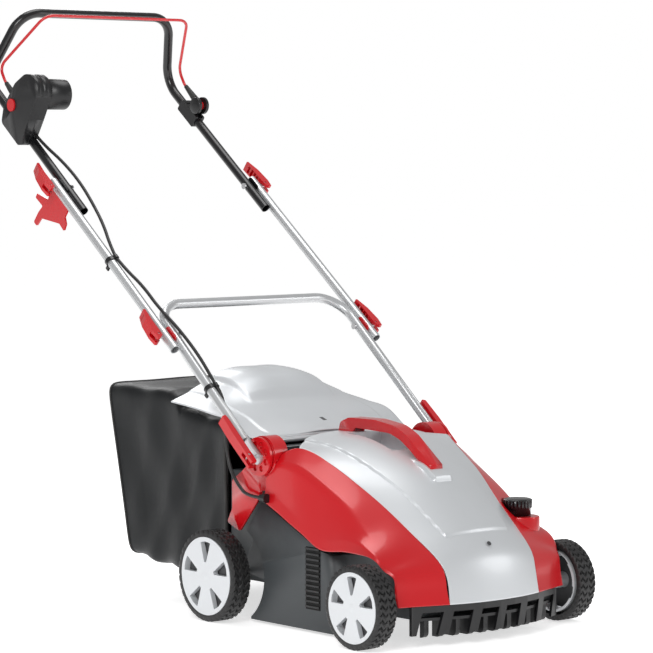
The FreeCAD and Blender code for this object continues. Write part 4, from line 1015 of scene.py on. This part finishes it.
@dataclass
class Wheel:
    """Treaded tyre and dressed rim of one wheel.

    Attributes:
        end: axle it runs on.
        side: side of the machine.
        lugs: tread blocks round the tyre.
        tread_depth: depth of the grooves between them.
        shoulder: rounding of the tyre's edges.
        zigzag: turns of the blocks' zigzag across the tyre, and its swing in blocks.
        block_share: level of the sine above which a block stands; more makes it longer.
        block_slope: steepness of the blocks' walls.
        band_half: half width of the plain band, as a share of the tyre's half width.
        band_slope: steepness of the plain band's walls.
        spokes: number of spokes.
        groove: half width and depth of the line along each spoke.
    """

    end: WheelEnd
    side: Side
    palette: Palette
    lugs: int = 36
    tread_depth: float = 0.0035
    shoulder: float = 0.008
    zigzag: tuple[float, float] = (1.5, 1.3)
    block_share: float = 0.55
    block_slope: float = 3.2
    band_half: float = 0.10
    band_slope: float = 40.0
    spokes: int = 5
    groove: tuple[float, float] = (0.0009, 0.0016)

    def __post_init__(self) -> None:
        """Reads the tyre's place from its CAD node."""
        self.label = f"{self.end.value}_tyre_{self.side.name.lower()}"
        self.body = f"{self.end.value}_wheel_{self.side.name.lower()}"
        low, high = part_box(self.label)
        self.radius = (high.z - low.z) / 2
        self.centre = np.array([(low.x + high.x) / 2, (low.y + high.y) / 2, (low.z + high.z) / 2])
        self.half_width = (high.x - low.x) / 2
        rim_low, rim_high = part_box(self.label.replace("tyre", "rim"))
        self.disc = (rim_high.z - rim_low.z) / 2
        self.spoke_phase = -self.side.value * math.pi / 2

    def tread(self, angle: np.ndarray, across: np.ndarray) -> np.ndarray:
        """Height of the tread, from 0 in a groove to 1 on a block.

        The blocks step sideways in a zigzag: the phase of each block is its place round
        the tyre plus a triangle wave of the place across it, and a clipped ramp of the
        phase's sine cuts the groove.  A narrow plain band runs round the middle.

        Args:
            angle: place round the tyre.
            across: place across the tyre, from -1 to 1.

        Returns:
            The height at each place.
        """
        turns, swing = self.zigzag
        lean = np.abs((across * turns) % 1.0 - 0.5) * swing
        phase = angle * self.lugs / math.tau + lean
        wave = np.sin(phase * math.tau)
        block = np.clip((wave + self.block_share) * self.block_slope, 0.0, 1.0)
        band = np.clip((self.band_half - np.abs(across)) * self.band_slope, 0.0, 1.0)
        return np.maximum(block, band)

    def profile(self) -> np.ndarray:
        """Section of the tyre from its inner wall over the tread to the outer wall.

        Returns:
            Rows of (radius, place across from -1 to 1, share of the tread's relief).
        """
        bead = self.disc + 0.0005
        flat = 0.80
        crown = np.linspace(-flat, flat, 41)
        edge = np.linspace(0.0, math.pi / 2, 7)[1:-1]
        drop = self.shoulder * (1 - np.cos(edge))
        out = flat + 0.19 * np.sin(edge)
        rows = [(bead, -0.97, 0.0), (self.radius - self.shoulder * 1.6, -0.99, 0.0)]
        rows += [(self.radius - d, -o, 0.6) for d, o in zip(drop[::-1], out[::-1])]
        rows += [(self.radius - 0.0006 * (c / flat) ** 2, c, 1.0) for c in crown]
        rows += [(self.radius - d, o, 0.6) for d, o in zip(drop, out)]
        rows += [(self.radius - self.shoulder * 1.6, 0.99, 0.0), (self.disc + 0.006, 0.975, 0.0),
                 (self.disc + 0.004, 0.945, 0.0), (bead, 0.93, 0.0)]
        return np.array(rows)

    def build_tyre(self) -> bpy.types.Object:
        """Turns the tyre's section about the axle and lowers it in the grooves."""
        section = self.profile()
        around = self.lugs * 12
        angle = np.linspace(0, math.tau, around, endpoint=False)[:, None]
        across = section[None, :, 1]
        relief = (1 - self.tread(angle, across)) * self.tread_depth * section[None, :, 2]
        radius = section[None, :, 0] - relief
        section = np.stack([radius, np.broadcast_to(across * self.half_width, radius.shape)], -1)
        return Surface().add(lathe_grid(section, self.centre, self.side.value, around), True,
                             True).piece(f"treaded_{self.label}", self.palette, self.body, "tyre",
                                         28.0, instead=self.label)

    def build_well(self) -> bpy.types.Object:
        """Dark disc that closes the spoked face from behind."""
        back = self.half_width - 0.013
        profile = np.array([(0.018, back), (self.disc - 0.0125, back),
                            (self.disc - 0.0125, back - 0.002), (0.018, back - 0.002)])
        grid = lathe_grid(profile, self.centre, self.side.value, 64)
        return Surface().add(grid, True, True).piece(f"{self.body}_well", self.palette, self.body,
                                                     "dark_grey")

    def build_trim(self) -> bpy.types.Object:
        """Low hub dome, and a ring just inside the tyre."""
        face = self.half_width + 0.0002
        dome = np.array([(0.0001, face + 0.0012), (0.008, face + 0.0010), (0.013, face + 0.0003),
                         (0.0145, face - 0.0012), (0.0001, face - 0.0012)])
        rim = self.disc - 0.004
        ring = np.array([(rim, face - 0.0016), (rim + 0.0004, face - 0.0004),
                         (rim + 0.0022, face - 0.0004), (rim + 0.0026, face - 0.0016)])
        surface = Surface()
        for profile in (dome, ring):
            surface.add(lathe_grid(profile, self.centre, self.side.value), True, True)
        return surface.piece(f"{self.body}_trim", self.palette, self.body, "wheel_silver",
                             weld=True)

    def build_grooves(self) -> bpy.types.Object:
        """Dark line along the middle of each of the five spokes, painted shade for the groove
        there.
        """
        surface = Surface()
        face = self.centre[0] + self.side.value * (self.half_width + 0.0001)
        floor = face - self.side.value * self.groove[1]
        for k in range(self.spokes):
            angle = math.tau * (k + 0.5) / self.spokes + self.spoke_phase
            out = np.array([math.cos(angle), math.sin(angle)])
            side = np.array([-out[1], out[0]])
            rows = []
            for reach in np.linspace(self.disc * 0.30, self.disc * 0.90, 8):
                one, other = (self.centre[1:] + out * reach + side * w
                              for w in (-self.groove[0], self.groove[0]))
                rows.append([(face, *one), (face, *other), (floor, *other), (floor, *one)])
            surface.add(np.array(rows), False, True, caps=True)
        return surface.piece(f"{self.body}_grooves", self.palette, self.body, "dark_grey")

    def build(self) -> list[bpy.types.Object]:
        """Builds and dresses the wheel."""
        return [self.build_tyre(), self.build_well(), self.build_trim(), self.build_grooves()]


# ---------------------------------------------------------------- bag


@dataclass
class CollectionBag:
    """Sewn bag with sagging walls, piped rear panel and a hemmed mouth.

    Attributes:
        thickness: thickness of the cloth.
        around: points round each section.
        along: sections from the mouth to the rear panel.
        panel: sections over the rear panel, from its edge to its middle.
        sink: how far the side walls pull in between their edges.
        bulge: how far the middle of the rear panel stands out.
        power: power of the superellipse of each section.
        folds_depth: depth of the diagonal folds, of those across them, and of the puckers.
        piping: radius of the rear panel's piping and of the mouth's hem.
    """

    palette: Palette
    thickness: float = 0.0016
    around: int = 240
    along: int = 120
    panel: int = 34
    sink: float = 0.005
    bulge: float = 0.006
    power: float = 18
    folds_depth: tuple[float, float, float] = (0.0054, 0.0042, 0.0009)
    piping: tuple[float, float] = (0.0026, 0.0042)

    def __post_init__(self) -> None:
        """Reads the bag's place from its CAD node."""
        low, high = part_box("collection_bag")
        self.front, self.bottom = low.y, low.z
        self.length, self.height = high.y - low.y, high.z - low.z
        self.half = high.x - 0.002

    def rails(self, v: np.ndarray) -> tuple[np.ndarray, np.ndarray]:
        """Bottom and top line of the bag in side view at v, from 0 at the mouth to 1.

        Both run straight between a few knots given as shares of the bag's length and
        height.
        """
        knots = np.array([0.0, 0.20, 0.385, 0.43, 0.50, 0.75, 1.0])
        low_y = np.array([0.0, 0.15, 0.31, 0.36, 0.43, 0.61, 0.792])
        low_z = np.array([0.028, 0.012, 0.004, 0.004, 0.006, 0.026, 0.060])
        top_y = np.array([0.0, 0.22, 0.385, 0.425, 0.50, 0.76, 0.978])
        top_z = np.array([0.838, 0.878, 0.896, 0.965, 0.988, 0.992, 0.985])

        def line(y: np.ndarray, z: np.ndarray) -> np.ndarray:
            """Line through knots given as shares, as y and z in metres."""
            return np.stack([self.front + self.length * np.interp(v, knots, y),
                             self.bottom + self.height * np.interp(v, knots, z)], -1)

        return line(low_y, low_z), line(top_y, top_z)

    def section(self, u: np.ndarray) -> tuple[np.ndarray, np.ndarray]:
        """Rounded rectangle as shares: across from -1 to 1 and up from 0 to 1.

        It is a superellipse in polar form; its high power gives flat walls and tight round
        corners.
        """
        angle = u * math.tau
        c, s = np.cos(angle), np.sin(angle)
        reach = (np.abs(c) ** self.power + np.abs(s) ** self.power) ** (-1 / self.power)
        return c * reach, s * reach / 2 + 0.5

    def folds(self, x: np.ndarray, y: np.ndarray, z: np.ndarray) -> np.ndarray:
        """Height of the cloth's soft folds.

        Sums of sine ridges that run diagonally down from the mouth's corners, bent by a
        slow wave, with sharper crests than troughs, and finer puckers on top.
        """
        a = (y - self.front) / self.length
        b = (z - self.bottom) / self.height
        bend = 0.5 * np.sin(3.1 * a + 2.0 * b + 1.3 * x / self.half)
        ridge = np.sin(13.0 * (a + b * 0.30) + 1.9 * bend + 2.6 * x / self.half)
        cross = np.sin(8.0 * (a * 1.1 - b * 0.55) + 1.6 * bend + 2.0 + 1.9 * x / self.half)
        fine = np.sin(34.0 * (a + 0.24 * b) + 4.0 * bend) * np.sin(7.0 * b + 3.0 * bend)
        deep, shallow, pucker = self.folds_depth
        return deep * np.abs(ridge) ** 1.7 + shallow * np.abs(cross) ** 1.8 + pucker * fine

    def shell(self) -> tuple[np.ndarray, np.ndarray]:
        """Points and map of the bag from the mouth to the middle of the rear panel.

        Sections are laid from the bottom line to the top line.  Past the rear edge they
        shrink towards the panel's middle, and the panel bulges outwards a little.
        """
        walls, panel = self.along, self.panel
        v = np.concatenate([np.linspace(0, 1, walls), np.ones(panel)])
        shrink = np.concatenate([np.ones(walls), np.linspace(0.985, 0.002, panel)])[:, None]
        low, top = self.rails(v)
        u = np.linspace(0, 1, self.around, endpoint=False)[None, :]
        across, up = self.section(u)
        across = across * shrink
        up = 0.5 + (up - 0.5) * shrink
        x = across * self.half * np.ones_like(up)
        y = low[:, None, 0] + (top - low)[:, None, 0] * up
        z = low[:, None, 1] + (top - low)[:, None, 1] * up
        middle = np.stack(np.broadcast_arrays(np.zeros_like(y), y.mean(axis=1, keepdims=True),
                                              z.mean(axis=1, keepdims=True)), -1)
        points = np.stack([x, y, z], -1)
        inward = unit(middle - points)
        side_wall = np.clip(np.abs(across) * 3.0 - 2.0, 0, 1) * np.sin(math.pi * np.clip(up, 0, 1))
        free = np.sin(math.pi * np.clip(v, 0, 1) ** 0.8)[:, None]
        pull = self.sink * side_wall * free + self.folds(x, y, z) * np.clip(
            0.25 + 1.4 * free + (1 - shrink) * 1.6, 0, 1)
        points = points + inward * pull[..., None]
        points[..., 1] += self.bulge * (1 - shrink ** 2)
        girth = 2 * (self.half * 2 + self.height)
        run = np.cumsum(np.concatenate([[0], np.linalg.norm(np.diff(low, axis=0), axis=1)]))
        uv = np.stack([np.broadcast_to(u * girth, y.shape),
                       np.broadcast_to((run[:, None] + (1 - shrink) * 0.2), y.shape)], -1)
        return points, uv

    def build_shell(self) -> bpy.types.Object:
        """Makes the cloth, one thickness strong, closed at the rear and open in front."""
        points, uv = self.shell()
        surface = Surface().add(points, False, True, uv=uv)
        last = (len(points) - 1) * self.around
        surface.faces.append(tuple(range(last, last + self.around)))
        return surface.piece("sewn_bag", self.palette, "bag", "bag_fabric", 60.0,
                             skin=self.thickness, instead="collection_bag")

    def build_piping(self) -> bpy.types.Object:
        """Piped seam round the rear panel and the hem of the mouth."""
        points, _ = self.shell()
        surface = Surface()
        for row, radius in zip((self.along - 1, 1), self.piping):
            surface.add(tube_grid(points[row], radius, 10, closed=True), True, True)
        return surface.piece("bag_piping", self.palette, "bag", "bag_fabric", 60.0,
                             finish=SLOT_FINISHES["rubber"])

    def build(self) -> list[bpy.types.Object]:
        """Builds the bag."""
        return [self.build_shell(), self.build_piping()]


# ---------------------------------------------------------------- cable


@dataclass
class HandleFrame:
    """Place on a straight stretch of the handle.

    Attributes:
        start: point on its axis where the distance along it is 0.
        slope: degrees above the ground.
    """

    start: Vector
    slope: float

    def at(self, along: float, above: float, x: float) -> tuple[float, float, float]:
        """Point given by distance along the tubes, above them, and across, in mm."""
        turn = math.radians(self.slope)
        along, above = along / 1000, above / 1000
        return (x / 1000, self.start.y + along * math.cos(turn) - above * math.sin(turn),
                self.start.z + along * math.sin(turn) + above * math.cos(turn))


@dataclass
class PowerCable:
    """Cable from the switch box to the deck, which bends at each fold of the handle.

    Attributes:
        radius: radius of the cable.
        held: not used.
    """

    palette: Palette
    lower: HandleFrame
    upper: HandleFrame
    front_axle: float
    radius: float = 0.00375
    held: int = 4

    def deck(self, x: float, y: float, z: float) -> tuple[float, float, float]:
        """Point on the deck, in mm from the ground below the front axle."""
        return (x / 1000, self.front_axle + y / 1000, z / 1000)

    def routes(self) -> dict[str, list[tuple[float, float, float]]]:
        """Control points of each length, the same as those of the CAD bars."""
        up, low, deck = self.upper.at, self.lower.at, self.deck
        return {
            "cable_upper": [
                up(703, 14, -262), up(668, 14, -260), up(600, 18, -246), up(520, 22, -244),
                up(440, 20, -250), up(360, 22, -266), up(300, 15, -280), up(259, 12.6, -286.2)],
            "cable_middle": [
                up(257, 12.6, -286.2), up(216, 13, -284), up(150, 18, -276), up(80, 16, -274),
                up(10, 19, -266), low(320, 17, -258), low(262, 15, -257), low(209, 10.5, -258.4)],
            "cable_tail": [
                low(207, 10.5, -258.4), low(179, 8.6, -254.4), deck(-249, 494, 424),
                deck(-251, 487, 374), deck(-254, 470, 328), deck(-258, 436, 297),
                deck(-261, 404, 279), deck(-261, 357, 279)],
        }

    def build(self) -> list[bpy.types.Object]:
        """Builds the three lengths, each a piece on no body."""
        pieces = []
        for node, controls in self.routes().items():
            route = smooth_route(np.array(controls))
            piece = Surface().add(tube_grid(route, self.radius, 20), False, True, caps=True).piece(
                f"flex_{node}", self.palette, "", "cable", 60.0, instead=node)
            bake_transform(piece)
            pieces.append(piece)
        return pieces


# ---------------------------------------------------------------- stage


@dataclass
class Studio:
    """Pale floor, soft lamps and the camera.

    Attributes:
        camera_place: where the camera stands.
        camera_heading: direction that it looks in.
        lens: focal length in mm on a sensor 36 mm wide.
        shift: shift of the picture as a share of its width.
        roll: turn of the camera about its heading, in degrees.
        floor_level: height of the floor, just below the wheels.
        floor_glow: light that the floor gives off.
        sky_light: strength of the sky on the machine; the camera sees it at full strength.
        aim: point that the lamps face.
    """

    camera_place: tuple[float, float, float]
    camera_heading: tuple[float, float, float]
    lens: float = 156.6
    shift: tuple[float, float] = (-0.0172, -0.0051)
    roll: float = -0.19
    floor_level: float = -0.0002
    floor_glow: float = 0.62
    sky_light: float = 0.42
    aim: tuple[float, float, float] = (0.0, 0.0, 0.45)

    def build_camera(self) -> None:
        """Places the camera at the viewing angle of a product picture."""
        data = bpy.data.cameras.new("camera")
        data.lens, data.sensor_width = self.lens, 36.0
        data.shift_x, data.shift_y = self.shift
        data.clip_end = 60.0
        camera = bpy.data.objects.new("camera", data)
        camera.location = self.camera_place
        heading = Vector(self.camera_heading)
        turn = heading.to_track_quat("-Z", "Y")
        camera.rotation_mode = "QUATERNION"
        camera.rotation_quaternion = Quaternion(heading, math.radians(-self.roll)) @ turn
        bpy.context.scene.collection.objects.link(camera)
        bpy.context.scene.camera = camera

    def build_floor(self) -> None:
        """Lays a wide plain floor."""
        mesh = bpy.data.meshes.new("floor")
        far, level = 40.0, self.floor_level
        mesh.from_pydata([(-far, -far, level), (far, -far, level), (far, far, level),
                          (-far, far, level)], [], [(0, 1, 2, 3)])
        graph = ShaderGraph("floor")
        graph.fill(graph.surface, {
            "Base Color": (0.90, 0.90, 0.90, 1.0), "Emission Color": (1.0, 1.0, 1.0, 1.0),
            "Emission Strength": self.floor_glow, "Roughness": 0.9})
        mesh.materials.append(graph.material)
        floor = bpy.data.objects.new("floor", mesh)
        bpy.context.scene.collection.objects.link(floor)

    def build_lamps(self) -> None:
        """Hangs large soft lamps round the machine: place, diameter and watts of each."""
        lamps = {
            "key": ((-3.0, -2.2, 2.6), 1.8, 62.0),
            "fill": ((2.6, -3.0, 1.6), 1.4, 16.0),
            "top": ((0.2, 0.4, 3.8), 2.2, 42.0),
            "back": ((1.2, 3.2, 2.8), 1.8, 34.0),
        }
        for name, (place, size, power) in lamps.items():
            data = bpy.data.lights.new(name, "AREA")
            data.shape, data.size, data.energy = "DISK", size, power
            lamp = bpy.data.objects.new(name, data)
            lamp.location = place
            aim = Vector(self.aim) - Vector(place)
            lamp.rotation_euler = aim.to_track_quat("-Z", "Y").to_euler()
            bpy.context.scene.collection.objects.link(lamp)

    def build_sky(self) -> None:
        """Lights the machine with a weak white sky, which the camera sees as pure white."""
        world = bpy.data.worlds.new("studio")
        world.use_nodes = True
        tree = world.node_tree
        background = tree.nodes["Background"]
        background.inputs["Color"].default_value = (1.0, 1.0, 1.0, 1.0)
        path = tree.nodes.new("ShaderNodeLightPath")
        strength = tree.nodes.new("ShaderNodeMapRange")
        strength.inputs["To Min"].default_value = self.sky_light
        strength.inputs["To Max"].default_value = 1.0
        tree.links.new(path.outputs["Is Camera Ray"], strength.inputs["Value"])
        tree.links.new(strength.outputs["Result"], background.inputs["Strength"])
        bpy.context.scene.world = world
        bpy.context.scene.view_settings.view_transform = "Standard"

    def build(self) -> None:
        """Builds the whole stage."""
        self.build_camera()
        self.build_floor()
        self.build_lamps()
        self.build_sky()


# Nodes that get a smoothed copy, with their body, slot and, for the deck, its own finish.
SMOOTHED = [
    ("carry_handle", "deck", "red_gloss"), ("knuckle_brackets", "deck", "red_gloss"),
    ("lower_handle", "lower", "silver_tube"), ("middle_tubes", "middle", "silver_tube"),
    ("upper_loop", "upper", "black_powder"), ("bail_bar", "bail", "red_gloss"),
    ("switch_box_outer", "upper", "black_moulding"), ("plug_shroud", "upper", "black_moulding"),
    ("switch_box_inner", "upper", "black_moulding"),
    ("deck_housing", "deck", "black_moulding", DECK_FINISH), ("height_knob", "knob", "black_gloss"),
]


def dress_cad_nodes(frame: dict, palette: Palette) -> None:
    """Gives every CAD node the finish of its slot.

    Args:
        palette: the built finishes.
    """
    slots = {entry["node"]: entry["material_slot"] for entry in frame["record"]["subparts"]}
    for name, node in frame["nodes"].items():
        node.data.materials.clear()
        node.data.materials.append(palette.material(SLOT_FINISHES[slots[name]]))


def joint_place(frame: dict, name: str) -> Vector:
    """Pivot of one of the record's joints."""
    return Vector(next(joint["pos_m"] for joint in frame["joints"] if joint["name"] == name))


def main() -> None:
    """Builds the stage and every piece, and reports each."""
    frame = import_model()
    palette = Palette()
    front_axle = joint_place(frame, "front_wheel_left_spin").y
    Studio(camera_place=(-4.0640, front_axle - 4.3662, 1.0060),
           camera_heading=(0.64719, 0.76012, -0.05807)).build()
    dress_cad_nodes(frame, palette)
    lower = HandleFrame(joint_place(frame, "handle_fold"), slope=40.9)
    upper = HandleFrame(joint_place(frame, "mid_fold"), slope=38.4)
    assemblies = [PowerCable(palette, lower, upper, front_axle), CollectionBag(palette),
                  HoodCover(palette, front_axle), RearFlap(palette, front_axle)]
    assemblies += [SideShell(palette, side, front_axle) for side in Side]
    assemblies += [SmoothCopy(palette, *row) for row in SMOOTHED]
    assemblies += [LouvreShadow(palette, side, front_axle) for side in Side]
    assemblies.append(BailCap(palette, joint_place(frame, "bail_pull")))
    assemblies += [Wheel(end, side, palette) for end in WheelEnd for side in Side]
    for assembly in assemblies:
        for piece in assembly.build():
            LOG.info("%s: %d faces", piece.name, len(piece.data.polygons))
    bpy.context.view_layer.update()


if __name__ == "__main__":
    main()
